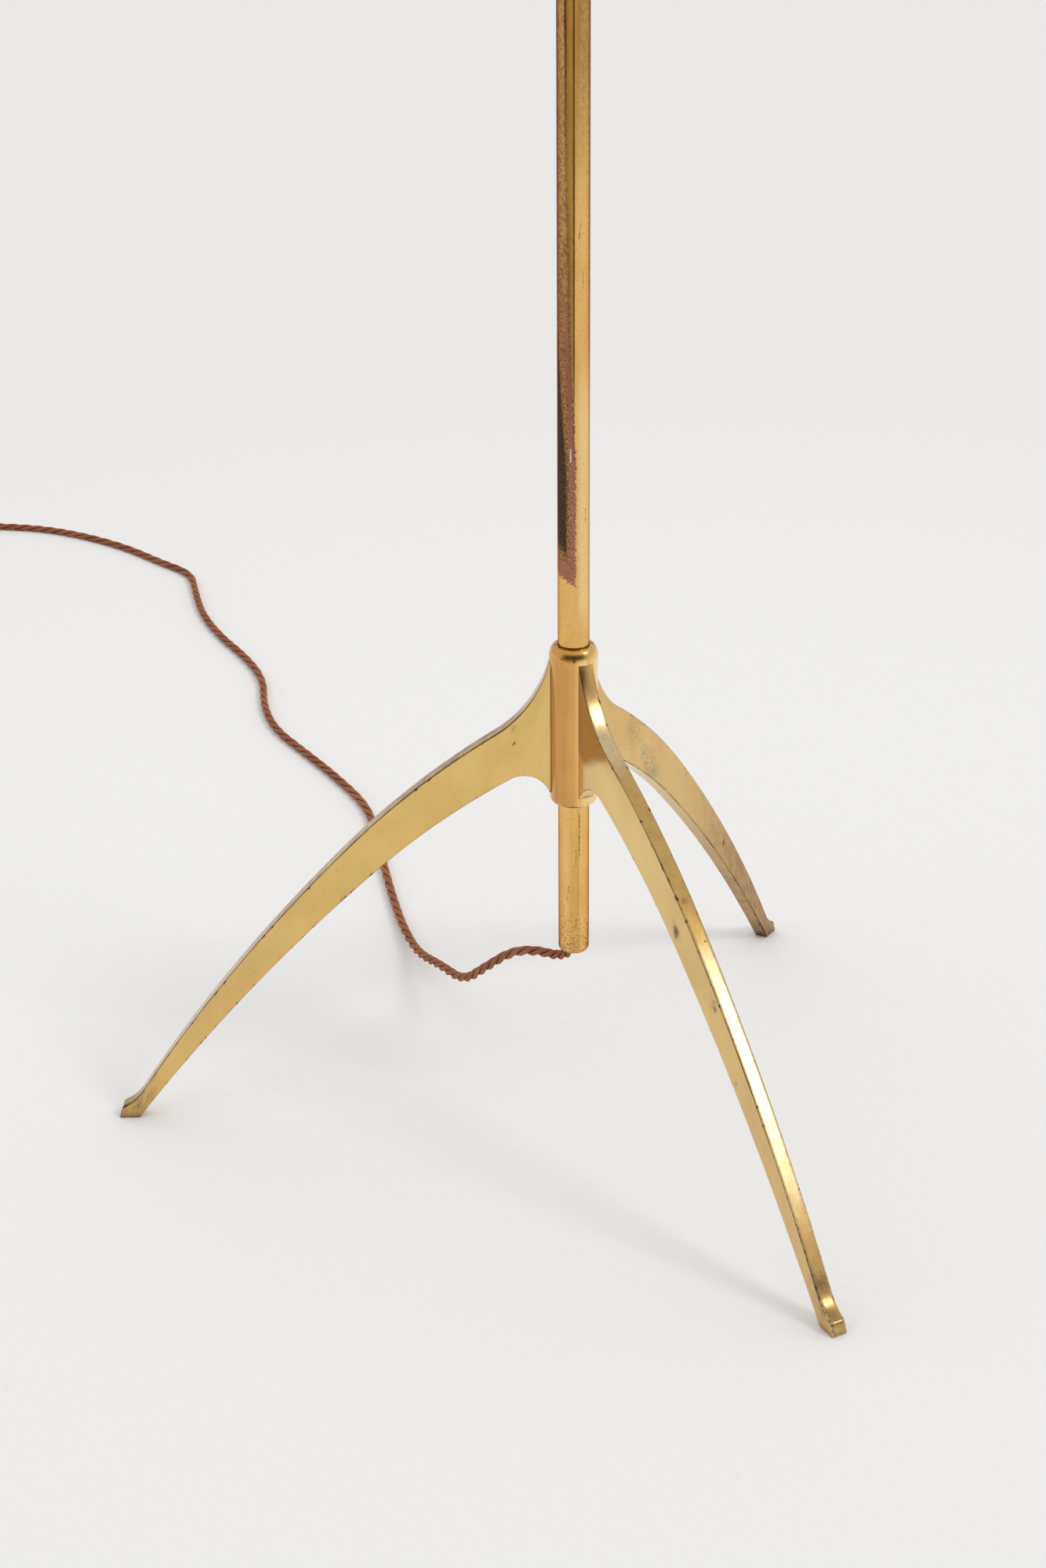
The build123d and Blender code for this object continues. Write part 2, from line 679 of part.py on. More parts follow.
near = int(sample_count / coil_turns / 3)
least = min(
    (samples[one] - samples[two]).length
    for one in range(len(samples))
    for two in range(one + near, len(samples))
)
print("flex_coil least gap to itself", round(least - flex_od, 3))

# The free run leaves the bush, hangs to the floor and goes back and left to the coil.
run_points = [(0.0, 0.0, bush_z - fixed_gap), *hanging_points]
run_points += [(x, y, flex_bed_z) for x, y in floor_points]
run_points.append(tuple(coil_mouth - entry_direction * coil_approach))
run_points.append(tuple(coil_mouth))
pieces["flex_run"] = flex_tube(run_points, "flex_run")

# The tail climbs off the coil to the plug, which lies on its side with its pins away from the coil.
plug_r = plug_od / 2
plug_axis_z = plug_r + floor_clearance
plug_mouth = Vector(coil_tip.X, coil_tip.Y - tail_reach, plug_axis_z)
tail_start = coil_tip + exit_direction * fixed_gap
tail_route = [tuple(tail_start), tuple(tail_start + exit_direction * tail_lead)]
tail_route.append((coil_tip.X + tail_dip[0], coil_tip.Y + tail_dip[1], tail_dip[2]))
tail_route.append((plug_mouth.X, plug_mouth.Y + plug_grip_depth, plug_axis_z))
tail_route.append((plug_mouth.X, plug_mouth.Y - plug_grip_depth, plug_axis_z))
pieces["flex_tail"] = flex_tube(tail_route, "flex_tail")

# Tie: a strip round the coil's turns.
tie_first_turn = (tie_angle - coil_entry_angle) / 360 % 1
tie_crossings = [tie_first_turn + index for index in range(math.ceil(coil_turns - tie_first_turn))]
crossing_radii = [coil_inner_r + coil_step * abs(turn - coil_turns / 2) for turn in tie_crossings]
bundle_inner_r = min(crossing_radii) - flex_r
tie_near = math.sqrt(bundle_inner_r**2 - tie_width**2 / 4) - tie_gap
tie_far = max(crossing_radii) + flex_r + tie_gap
tie_low_z = coil_bed_z - flex_r - tie_gap
tie_high_z = coil_bed_z + coil_step + flex_r + tie_gap
tie_inner_width = tie_far - tie_near
tie_inner_height = tie_high_z - tie_low_z
tie_hole = Box(tie_inner_width, 2 * tie_width, tie_inner_height)
tie_block = Box(tie_inner_width + 2 * tie_thickness, tie_width, tie_inner_height + 2 * tie_thickness)
tie_middle = Pos((tie_near + tie_far) / 2, 0, (tie_low_z + tie_high_z) / 2)
tie_place = Pos(*coil_centre, 0) * Rot(0, 0, tie_angle) * tie_middle
pieces["coil_tie"] = tie_place * (tie_block - tie_hole)


# Plug: made along its own axis from the flex to the pins, then laid beside the coil.
boot_end = plug_boot_length
cover_end = boot_end + plug_cover_length
body_end = cover_end + plug_body_length
plug_place = Plane(plug_mouth, x_dir=(1, 0, 0), z_dir=(0, -1, 0))
neck_r = plug_neck_od / 2
boot_bore_r = flex_r + fixed_gap
boot_r = neck_r - plug_cover_wall - fixed_gap
boot_top = boot_end + plug_cover_wall
boot = turned(
    (boot_bore_r, 0),
    (plug_boot_tip_od / 2, 0),
    (boot_r, boot_end),
    (boot_r, boot_top),
    (boot_bore_r, boot_top),
)
shoulder = boot_end + plug_cover_length / 2
cover = turned(
    (neck_r - plug_cover_wall, boot_end),
    (neck_r, boot_end),
    (plug_r, shoulder),
    (plug_r, cover_end),
    (plug_r - plug_cover_wall, cover_end),
    (plug_r - plug_cover_wall, shoulder),
    (neck_r - plug_cover_wall, boot_end + plug_cover_wall),
)
post_r = plug_screw_od / 2 + plug_cover_wall
web_low = shoulder - plug_cover_wall
web = Pos(0, 0, web_low) * Box(plug_od - plug_cover_wall, plug_cover_wall, cover_end - web_low, align=ON_BASE)
cover = cover + web + rod(post_r, web_low, cover_end)
plug_body = rod(plug_r, cover_end + fixed_gap, body_end)
pin_r = plug_pin_od / 2
pin_root_r = plug_pin_root_od / 2
pin_crown = body_end + plug_pin_length - pin_r
pin = rod(pin_root_r, body_end - plug_pin_root, body_end) + rod(pin_r, body_end, pin_crown)
pin = pin + Pos(0, 0, pin_crown) * Sphere(pin_r)
pin_sides = [Pos(side * plug_pin_spacing / 2, 0, 0) for side in (-1, 1)]
pin_hole = rod(pin_root_r + fixed_gap, body_end - plug_pin_root - fixed_gap, body_end)
for side in pin_sides:
    plug_body = plug_body - side * pin_hole
screw_head_low = body_end - plug_screw_head_height
screw_end = body_end - plug_screw_length
plug_screw = rod(plug_screw_head_od / 2, screw_head_low, body_end)
plug_screw = plug_screw + rod(plug_screw_od / 2, screw_end, screw_head_low)
slot = Box(plug_screw_head_od * 2, clamp_slot_width, clamp_slot_depth)
plug_screw = plug_screw - Pos(0, 0, body_end - clamp_slot_depth / 2) * slot
screw_hole = rod(plug_screw_head_od / 2 + fixed_gap, screw_head_low - fixed_gap, body_end)
screw_hole = screw_hole + rod(plug_screw_od / 2 + fixed_gap, screw_end - fixed_gap, body_end)
clip_depth = plug_clip_thickness + fixed_gap
clips = []
for side in (-1, 1):
    clip_y = side * (plug_r - plug_clip_thickness / 2)
    clip = Box(plug_clip_width, plug_clip_thickness, plug_body_length / 2, align=ON_BASE)
    clips.append(Pos(0, clip_y, body_end - plug_body_length / 2) * clip)
    pocket_length = plug_body_length / 2 + fixed_gap
    pocket = Box(plug_clip_width + 2 * fixed_gap, 2 * clip_depth, pocket_length, align=ON_BASE)
    plug_body = plug_body - Pos(0, side * plug_r, body_end - pocket_length) * pocket
pieces["plug_boot"] = plug_place * boot
pieces["plug_cover"] = plug_place * (cover - screw_hole)
pieces["plug_body"] = plug_place * (plug_body - screw_hole)
pieces["plug_pins"] = Compound([plug_place * side * pin for side in pin_sides])
pieces["plug_earth_clips"] = Compound([plug_place * clip for clip in clips])
pieces["plug_screw"] = plug_place * plug_screw

for name, piece in pieces.items():
    piece.label = name
    export_step(piece, f"parts/{name}.step")
print(len(pieces), "nodes")
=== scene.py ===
import math
import random

import bpy
from mathutils import Matrix, Vector


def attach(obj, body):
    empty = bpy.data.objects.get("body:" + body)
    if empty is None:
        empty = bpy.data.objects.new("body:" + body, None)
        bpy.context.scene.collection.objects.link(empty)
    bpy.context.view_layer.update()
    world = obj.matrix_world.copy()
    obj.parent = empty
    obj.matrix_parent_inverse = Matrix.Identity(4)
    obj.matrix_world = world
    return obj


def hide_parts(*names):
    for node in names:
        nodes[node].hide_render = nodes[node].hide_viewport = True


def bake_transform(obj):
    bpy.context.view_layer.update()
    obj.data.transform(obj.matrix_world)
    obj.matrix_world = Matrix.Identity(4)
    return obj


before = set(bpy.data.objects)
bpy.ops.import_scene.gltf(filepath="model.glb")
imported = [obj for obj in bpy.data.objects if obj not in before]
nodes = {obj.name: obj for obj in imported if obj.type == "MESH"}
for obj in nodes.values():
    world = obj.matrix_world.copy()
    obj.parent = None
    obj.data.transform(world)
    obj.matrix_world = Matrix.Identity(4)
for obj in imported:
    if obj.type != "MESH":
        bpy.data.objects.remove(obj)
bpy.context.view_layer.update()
collection = bpy.context.scene.collection


# Studio: the lamp stands on plain pale paper under a broad light from the right and the front.
# The camera stands where the photograph was taken from, looking down at the tripod.
IMAGE_HEIGHT = 1999
FOCAL_PIXELS = 3790.13
CAMERA_PLACE = (-0.02773, -1.38738, 0.82178)
CAMERA_PITCH = 24.374
CAMERA_YAW = 0.073
CAMERA_ROLL = -0.462
camera_data = bpy.data.cameras.new("camera")
camera_data.sensor_fit = "VERTICAL"
camera_data.sensor_height = 36.0
camera_data.lens = FOCAL_PIXELS / IMAGE_HEIGHT * camera_data.sensor_height
camera_data.clip_start = 0.02
camera = bpy.data.objects.new("camera", camera_data)
collection.objects.link(camera)
turn_left = Matrix.Rotation(math.radians(-CAMERA_YAW), 4, "Z")
tip_down = Matrix.Rotation(math.radians(90 - CAMERA_PITCH), 4, "X")
lean_over = Matrix.Rotation(math.radians(CAMERA_ROLL), 4, "Z")
camera.matrix_world = Matrix.Translation(CAMERA_PLACE) @ turn_left @ tip_down @ lean_over
bpy.context.scene.camera = camera
bpy.context.scene.view_settings.view_transform = "Standard"


def paint(red, green, blue):
    """Linear colour from display values of 0 to 255."""
    linear = []
    for value in (red, green, blue):
        share = value / 255
        linear.append(share / 12.92 if share <= 0.04045 else ((share + 0.055) / 1.055) ** 2.4)
    return (*linear, 1.0)


class Value:
    """A number, vector or colour in a node tree, and what is worked out from it there."""

    def __init__(self, tree, socket):
        self.tree = tree
        self.socket = socket

    def math(self, operation, other=0.0):
        return self.tree.value("Math", {0: self, 1: other}, operation=operation)

    def __add__(self, other):
        return self.math("ADD", other)

    def __sub__(self, other):
        return self.math("SUBTRACT", other)

    def __mul__(self, other):
        return self.math("MULTIPLY", other)

    def __abs__(self):
        return self.math("ABSOLUTE")

    def most(self, other):
        return self.math("MAXIMUM", other)

    def least(self, other):
        return self.math("MINIMUM", other)

    def step(self, low, high):
        """Smooth rise from 0 at low to 1 at high."""
        inputs = {"Value": self, "From Min": low, "From Max": high}
        return self.tree.value("MapRange", inputs, interpolation_type="SMOOTHSTEP")

    def scaled(self, low, high):
        """A share of 0 to 1, as a value from low to high."""
        return self.tree.value("MapRange", {"Value": self, "To Min": low, "To Max": high})

    def mix(self, below, above):
        """Colour above laid over colour below, by this share."""
        return self.tree.value("Mix", {0: self, 6: below, 7: above}, 2, data_type="RGBA")

    def raised(self, distance, under=None):
        """Bump from a height of 0 to 1 that stands for a distance in metres."""
        inputs = {"Height": self, "Distance": distance}
        if under is not None:
            inputs["Normal"] = under
        return self.tree.value("Bump", inputs)

    def stretched(self, stretch):
        return self.tree.value("VectorMath", {0: self, 1: stretch}, operation="MULTIPLY")

    def moved(self, shift):
        return self.tree.value("VectorMath", {0: self, 1: shift}, operation="ADD")

    def length(self):
        return self.tree.value("VectorMath", {0: self}, "Value", operation="LENGTH")

    def axes(self):
        return [Value(self.tree, axis) for axis in self.tree.node("SeparateXYZ", {0: self}).outputs]

    def noise(self, scale, detail=3.0, roughness=0.5, distortion=0.0):
        inputs = {"Vector": self, "Scale": scale, "Detail": detail}
        inputs.update({"Roughness": roughness, "Distortion": distortion})
        return self.tree.value("TexNoise", inputs)

    def specks(self, scale):
        """Distance to the nearest of scattered points, in cells."""
        return self.tree.value("TexVoronoi", {"Vector": self, "Scale": scale}, "Distance")


class Tree:
    """A node tree, and the values that enter it."""

    def __init__(self, tree):
        self.tree = tree

    def put(self, socket, value):
        if isinstance(value, Value):
            self.tree.links.new(value.socket, socket)
        else:
            socket.default_value = value

    def node(self, kind, inputs, **settings):
        made = self.tree.nodes.new("ShaderNode" + kind)
        for name, setting in settings.items():
            setattr(made, name, setting)
        for key, value in inputs.items():
            self.put(made.inputs[key], value)
        return made

    def value(self, kind, inputs, output=0, **settings):
        """One output of a new node."""
        return Value(self, self.node(kind, inputs, **settings).outputs[output])

    def place(self, stretch=None):
        """Where a point is on its piece, in metres."""
        where = self.value("TexCoord", {}, "Object")
        return where.stretched(stretch) if stretch else where

    def mark(self, name, output="Fac"):
        """A value laid on the mesh's points."""
        return self.value("Attribute", {}, output, attribute_name=name)


class Finish(Tree):
    """One material, with its shader and the tone that is built up for it."""

    def __init__(self, name):
        self.material = bpy.data.materials.new(name)
        self.material.use_nodes = True
        super().__init__(self.material.node_tree)
        self.shader = self.tree.nodes["Principled BSDF"]
        self.tone = None

    def wash(self, share, colour):
        """Lays a colour over the tone so far, by a share."""
        self.tone = share.mix(self.tone, colour)

    def set(self, **values):
        """Sets or links the shader's own sockets, named with _ for a space."""
        for name, value in values.items():
            self.put(self.shader.inputs[name.replace("_", " ")], value)


def made_mesh(name, points, faces, finish, sharp=32.0):
    """Mesh piece, smooth except along corners sharper than an angle."""
    mesh = bpy.data.meshes.new(name)
    mesh.from_pydata(points, [], faces)
    mesh.polygons.foreach_set("use_smooth", [True] * len(mesh.polygons))
    mesh.set_sharp_from_angle(angle=math.radians(sharp))
    mesh.materials.append(finish.material)
    piece = bpy.data.objects.new(name, mesh)
    collection.objects.link(piece)
    return piece


paper = Finish("studio_paper")
paper_mottle = paper.place().noise(38.0, detail=6.0, roughness=0.65)
# Painted shade: the paper is painted darker further out from the lamp, a painted falloff of the light
# towards the edges.
paper_out = paper.place().moved((-0.1, -0.2, 0.0)).length()
paper_painted_falloff = paper_out.step(0.3, 1.4).mix((0.918, 0.914, 0.91, 1.0), (0.876, 0.861, 0.857, 1.0))
paper.set(
    Base_Color=paper_mottle.scaled(0.0, 0.04).mix(paper_painted_falloff, (0.62, 0.6, 0.58, 1.0)),
    Roughness=0.9,
    Specular_IOR_Level=0.1,
    Normal=paper.place().noise(160.0, detail=4.0).raised(0.0006),
)
FLOOR_REACH = 14.0
ONE_FACE = [(0, 1, 2, 3)]
floor_corners = [(x * FLOOR_REACH, y * FLOOR_REACH, 0.0) for x, y in ((-1, -1), (1, -1), (1, 1), (-1, 1))]
made_mesh("studio_floor", floor_corners, ONE_FACE, paper)

KEY_AZIMUTH = -33.0
KEY_HEIGHT = 42.0
key_light = bpy.data.lights.new("key_light", "SUN")
key_light.angle = math.radians(17.0)
key_light.energy = 0.65
key_light.color = (1.0, 0.97, 0.93)
key_lamp = bpy.data.objects.new("key_light", key_light)
key_lamp.rotation_euler = (math.radians(90 - KEY_HEIGHT), 0.0, math.radians(90 + KEY_AZIMUTH))
key_lamp.visible_glossy = False
collection.objects.link(key_lamp)


def only_mirrored(piece):
    """A studio card or wall that is seen in polished brass and nowhere else."""
    piece.visible_camera = False
    piece.visible_diffuse = False
    piece.visible_shadow = False


# The softbox's face, and the dim room beyond the paper's front edge with the camera's stand in it.
SOFTBOX_FAR = 6.0
SOFTBOX_AZIMUTH = -22.0
SOFTBOX_HEIGHT = 37.5
SOFTBOX_HALF = 0.95
SOFTBOX_CORNERS = ((-1, -1), (-1, 1), (1, 1), (1, -1))
softbox_finish = Finish("studio_softbox")
softbox_glow = softbox_finish.place().length().step(SOFTBOX_HALF, SOFTBOX_HALF * 0.45)
softbox_finish.set(
    Base_Color=(0.0, 0.0, 0.0, 1.0),
    Emission_Color=(1.0, 0.97, 0.92, 1.0),
    Emission_Strength=softbox_glow.scaled(0.6, 6.0),
)
softbox_face = [(0.0, y * SOFTBOX_HALF, z * SOFTBOX_HALF) for y, z in SOFTBOX_CORNERS]
softbox = made_mesh("studio_softbox", softbox_face, ONE_FACE, softbox_finish)
softbox_aside = Matrix.Rotation(math.radians(SOFTBOX_AZIMUTH), 4, "Z")
softbox_up = Matrix.Rotation(math.radians(-SOFTBOX_HEIGHT), 4, "Y")
softbox.matrix_world = softbox_aside @ softbox_up @ Matrix.Translation((SOFTBOX_FAR, 0.0, 0.0))
only_mirrored(softbox)
ROOM_SPLIT = 0.05
ROOM_FAR = -9.0
ROOM_LIFT = 0.004
ROOM_SIDES = {
    "left": (-9.0, ROOM_SPLIT, -1.3, paint(180, 160, 132)),
    "right": (ROOM_SPLIT, 9.0, -2.2, paint(198, 180, 150)),
}
for name, (low_x, high_x, near_y, room_tone) in ROOM_SIDES.items():
    room_finish = Finish("studio_room_" + name)
    room_finish.set(Base_Color=room_tone, Roughness=0.9)
    room_corners = [
        (high_x, near_y, ROOM_LIFT), (low_x, near_y, ROOM_LIFT),
        (low_x, ROOM_FAR, ROOM_LIFT), (high_x, ROOM_FAR, ROOM_LIFT),
    ]
    only_mirrored(made_mesh("studio_room_" + name, room_corners, ONE_FACE, room_finish))
stand_finish = Finish("studio_stand")
stand_finish.set(Base_Color=(0.006, 0.005, 0.004, 1.0), Roughness=0.8)
STANDS = ((0.05, -1.25, 0.13, 0.088, 0.6), (-2.2, -1.5, 0.3, 0.3, 0.25), (2.5, -0.97, 0.035, 0.035, 0.25))
for stand_x, stand_y, foot_half, head_half, tall in STANDS:
    aside = Vector((-stand_y, stand_x, 0.0)).normalized()
    foot = Vector((stand_x, stand_y, 0.0))
    head = foot + Vector((0.0, 0.0, tall))
    stand_corners = [
        foot - aside * foot_half, foot + aside * foot_half,
        head + aside * head_half, head - aside * head_half,
    ]
    only_mirrored(made_mesh("studio_stand", stand_corners, ONE_FACE, stand_finish))

world = bpy.data.worlds.new("studio_air")
bpy.context.scene.world = world
world.use_nodes = True
air = Tree(world.node_tree)
air_x, air_y, air_z = air.value("TexCoord", {}, "Generated").axes()
room_dark = air_y.step(-0.35, -0.8) * air_z.step(0.75, 0.3)
room_light = air_x.step(-0.9, 0.9).scaled(0.66, 0.62) * room_dark.scaled(1.0, 0.1)
shed_light = room_light * air.value("LightPath", {}, "Is Diffuse Ray").scaled(1.0, 1.39)
to_camera = air.value("LightPath", {}, "Is Camera Ray")
shown_light = air.value("Mix", {0: to_camera, 2: shed_light, 3: 0.82}, data_type="FLOAT")
air.put(world.node_tree.nodes["Background"].inputs["Color"], (1.0, 1.0, 1.0, 1.0))
air.put(world.node_tree.nodes["Background"].inputs["Strength"], shown_light)


# Hub: a turned brass barrel under a domed collar, bored for the stem, with a shallow recess round its
# mouth. It is polished, and has gone golden-orange with age.
BARREL_R = 0.0123
DOME_R = 0.0126
HUB_LOW = 0.1834
HUB_LINE = 0.2635
HUB_TOP = 0.2703
HUB_ROUND = 0.0042
HUB_BORE = 0.00806
MOUTH_R = 0.00845
MOUTH_DEPTH = 0.0008
MOUTH_LAND = 0.001
MOUTH_ARRIS = 0.0002
HUB_MIDDLE = 0.22
HUB_FILLET = ((0.0, 0.003), (0.00004, 0.002), (0.00016, 0.0012), (0.00026, 0.0005))
LEG_HALF = 0.0042


def ring_faces(rows, sides, closed):
    """Quads between rows of points that each go once round."""
    faces = []
    for row in range(rows if closed else rows - 1):
        after = (row + 1) % rows
        for side in range(sides):
            beside = (side + 1) % sides
            low, high = row * sides, after * sides
            faces.append((low + side, low + beside, high + beside, high + side))
    return faces


def tube_faces(base, rows, sides):
    """Faces of a tube that is closed at both ends, from the number of its first point."""
    faces = ring_faces(rows, sides, False)
    faces.append(tuple(reversed(range(sides))))
    faces.append(tuple(range((rows - 1) * sides, rows * sides)))
    return [tuple(base + corner for corner in face) for face in faces]


def lay_on(piece, name, numbers):
    """Lays a number, or a vector, on each point of a mesh for its material to read."""
    kind, field = ("FLOAT", "value")
    if len(numbers) > len(piece.data.vertices):
        kind, field = ("FLOAT_VECTOR", "vector")
    piece.data.attributes.new(name, kind, "POINT").data.foreach_set(field, numbers)


def turned_points(outline, sides, wave=None):
    """Points of a (radius, height) outline taken round the upright axis.
    A wave adds to the radius by angle, height and row."""
    points = []
    for row, (radius, height) in enumerate(outline):
        for side in range(sides):
            angle = math.tau * side / sides
            reach = radius + wave(angle, height, row) if wave else radius
            points.append((reach * math.cos(angle), reach * math.sin(angle), height))
    return points


def turned(name, outline, finish, sides=128, sharp=32.0, wave=None):
    """Piece turned from a closed outline that goes up the outside first."""
    points = turned_points(outline, sides, wave)
    return made_mesh(name, points, ring_faces(len(outline), sides, True), finish, sharp)


def arc(centre, radii, start, end, count):
    """Points on part of an ellipse in (radius, height), by angles in degrees."""
    points = []
    for index in range(count + 1):
        angle = math.radians(start + (end - start) * index / count)
        points.append((centre[0] + radii[0] * math.cos(angle), centre[1] + radii[1] * math.sin(angle)))
    return points


hub_brass = Finish("hub_brass")
hub_where = hub_brass.place()
hub_x, _, hub_z = hub_where.axes()
hub_cloud = hub_where.noise(70.0, detail=5.0)
hub_fine = hub_where.noise(620.0, detail=5.0, roughness=0.65)
hub_brass.tone = hub_cloud.step(0.25, 0.75).mix(paint(212, 157, 78), paint(222, 168, 87))
# Painted shade darkens the barrel's left side, and a painted highlight lightens its right side.
hub_brass.wash(hub_x.step(-0.001, -0.006) * 0.32, paint(184, 122, 58))
hub_brass.wash(hub_x.step(-0.001, 0.005) * 0.9, paint(255, 220, 146))
hub_streak = hub_brass.place((420.0, 420.0, 9.0)).noise(1.0, detail=3.0)
hub_brass.wash(hub_streak.step(0.5, 0.72) * 0.3, paint(178, 116, 58))
on_dome = hub_z.step(HUB_LINE, HUB_LINE + 0.003)
hub_brass.wash(on_dome * 0.5, paint(250, 184, 90))
foot_dirt = hub_z.step(HUB_LOW + 0.0045, HUB_LOW + 0.0005) * hub_fine.step(0.52, 0.6)
mouth_dirt = hub_z.step(HUB_TOP - 0.0002, HUB_TOP - 0.00005) * hub_fine.step(0.5, 0.58)
hub_dirt = mouth_dirt.most(foot_dirt)
hub_brass.wash(hub_dirt * 0.85, paint(76, 46, 30))
hub_specks = hub_where.specks(420.0).step(0.09, 0.04)
hub_brass.wash(hub_specks * 0.7, paint(98, 58, 36))
hub_brass.set(
    Base_Color=hub_brass.tone,
    Metallic=1.0,
    Roughness=hub_fine.scaled(0.08, 0.16) + on_dome * 0.1,
    Coat_Weight=0.8,
    Coat_Roughness=0.1,
    Normal=hub_cloud.raised(0.00005),
)
dome_middle = MOUTH_R + MOUTH_LAND
hub_outline = [
    (HUB_BORE, HUB_LOW),
    *arc((BARREL_R - HUB_ROUND, HUB_LOW + HUB_ROUND), (HUB_ROUND, HUB_ROUND), -90, 0, 12),
    (BARREL_R, HUB_MIDDLE),
    *((BARREL_R + out, HUB_LINE - below) for out, below in HUB_FILLET),
    *arc((dome_middle, HUB_LINE), (DOME_R - dome_middle, HUB_TOP - HUB_LINE), 2, 90, 28),
    (MOUTH_R + MOUTH_ARRIS, HUB_TOP), (MOUTH_R, HUB_TOP - MOUTH_ARRIS),
    (MOUTH_R, HUB_TOP - MOUTH_DEPTH), (HUB_BORE, HUB_TOP - MOUTH_DEPTH),
]
hub = turned("tripod_hub", hub_outline, hub_brass, sides=160)
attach(hub, "tripod")
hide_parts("hub")


# Legs: three curved legs sawn from thick brass plate, brazed to the barrel and filed smooth. Their sides
# are greenish and half polished, their corners are worn, and each toe turns up a little.
LEG_ARRIS = 0.00042
LEG_ROOT = 0.0098
COPE_R = 0.01235
LEG_TOP = 0.2638
TOP_REACH = 0.0124
WRAP_LOW = 0.246
WRAP_HIGH = 0.2615
WRAP_FADE = 0.8
LEAST_WEAR = 0.85
MOST_WEAR = 1.2
TOE_WEAR = 1.3
TOE_FROM = 0.27
TOE_OVER = 0.04
SIDE_NEAR = 0.0012
SIDE_MIDDLE = 0.0032
LEG_BOTTOM = 0.190
ANKLE = (0.231, 0.0163)
SHIN = (0.1133, 0.163)
NECK = (0.0402, 0.2223)
HEEL = (0.2335, 0.0)
CALF = (0.1032, 0.1454)
ARCH = (0.0323, 0.1976)
TOE_TOP = (0.2410, 0.0076)
TOE_FRONT = (0.2427, 0.0056)
TOE_NOSE = (0.2441, 0.0008)
SOLE_END = (0.2433, 0.0)
ANKLE_SLOPE = math.radians(57.0)
HEEL_SLOPE = math.radians(53.5)


def clamped(value):
    """A value kept between 0 and 1."""
    return min(max(value, 0.0), 1.0)


def tangent_arc(start, direction, end, count):
    """Points after start on the arc that leaves it along a direction, and the arc's last direction."""
    chord = Vector(end) - Vector(start)
    left = Vector((-direction.y, direction.x))
    turn = 2 * math.atan2(chord.dot(left), chord.dot(direction))
    centre = Vector(start) + left * (chord.length_squared / (2 * chord.dot(left)))
    spoke = Vector(start) - centre
    points = []
    for index in range(1, count + 1):
        points.append(centre + Matrix.Rotation(turn * index / count, 2) @ spoke)
    return points, Matrix.Rotation(turn, 2) @ direction


def edge_points(start, slope, stops):
    """One edge of a leg, from its foot to the hub, through (point, count) stops."""
    direction = Vector((-math.cos(slope), math.sin(slope)))
    points = [Vector(start)]
    for stop, count in stops:
        arc_points, direction = tangent_arc(points[-1], direction, stop, count)
        points += arc_points
    return points


def leg_section(upper, lower, wear):
    """Points once round a leg between its two edges: (in-plane point, across, how near a corner)."""
    across = lower - upper
    width = across.length
    unit = across / width
    corner = min(LEG_ARRIS * wear, width * 0.2)
    diagonal = corner * (1 - math.sqrt(0.5))
    inside = LEG_HALF - corner
    near = min(SIDE_NEAR, width * 0.3)
    middle = min(SIDE_MIDDLE, width * 0.42)
    half = [
        (0.0, -inside, 0.9), (0.0, -inside * 0.6, 0.25), (0.0, 0.0, 0.1), (0.0, inside * 0.6, 0.25),
        (0.0, inside, 0.9), (diagonal, LEG_HALF - diagonal, 1.0), (corner, LEG_HALF, 0.9),
        (near, LEG_HALF, 0.45), (middle, LEG_HALF, 0.0), (width / 2, LEG_HALF, 0.0),
        (width - middle, LEG_HALF, 0.0), (width - near, LEG_HALF, 0.45),
        (width - corner, LEG_HALF, 0.9), (width - diagonal, LEG_HALF - diagonal, 1.0),
    ]
    half += [(width - along, -side, mark) for along, side, mark in half]
    return [(upper + unit * along, side, mark) for along, side, mark in half]


toe_out = Vector((math.cos(ANKLE_SLOPE), -math.sin(ANKLE_SLOPE)))
instep_points, instep_direction = tangent_arc(ANKLE, toe_out, TOE_TOP, 8)
brow_points, _ = tangent_arc(TOE_TOP, instep_direction, TOE_FRONT, 6)
nose_points = [Vector(TOE_FRONT).lerp(Vector(TOE_NOSE), share) for share in (0.25, 0.5, 0.75, 1.0)]
upper_edge = edge_points(ANKLE, ANKLE_SLOPE, [(SHIN, 36), (NECK, 24), ((TOP_REACH, LEG_TOP), 18)])
lower_edge = edge_points(HEEL, HEEL_SLOPE, [(CALF, 36), (ARCH, 24), ((COPE_R, LEG_BOTTOM), 18)])
toe_points = [*instep_points, *brow_points, *nose_points]
sole_count = len(toe_points)
sole_points = [Vector(HEEL).lerp(Vector(SOLE_END), (index + 1) / sole_count) for index in range(sole_count)]
upper_stations = [Vector((LEG_ROOT, LEG_TOP)), *reversed(upper_edge), *toe_points]
lower_stations = [Vector((LEG_ROOT, LEG_BOTTOM)), *reversed(lower_edge), *sole_points]
VERDIGRIS = paint(150, 162, 124)
RED_BROWN = paint(122, 70, 46)
GREEN_BLACK = paint(52, 48, 28)
DARK_BROWN = paint(84, 54, 34)


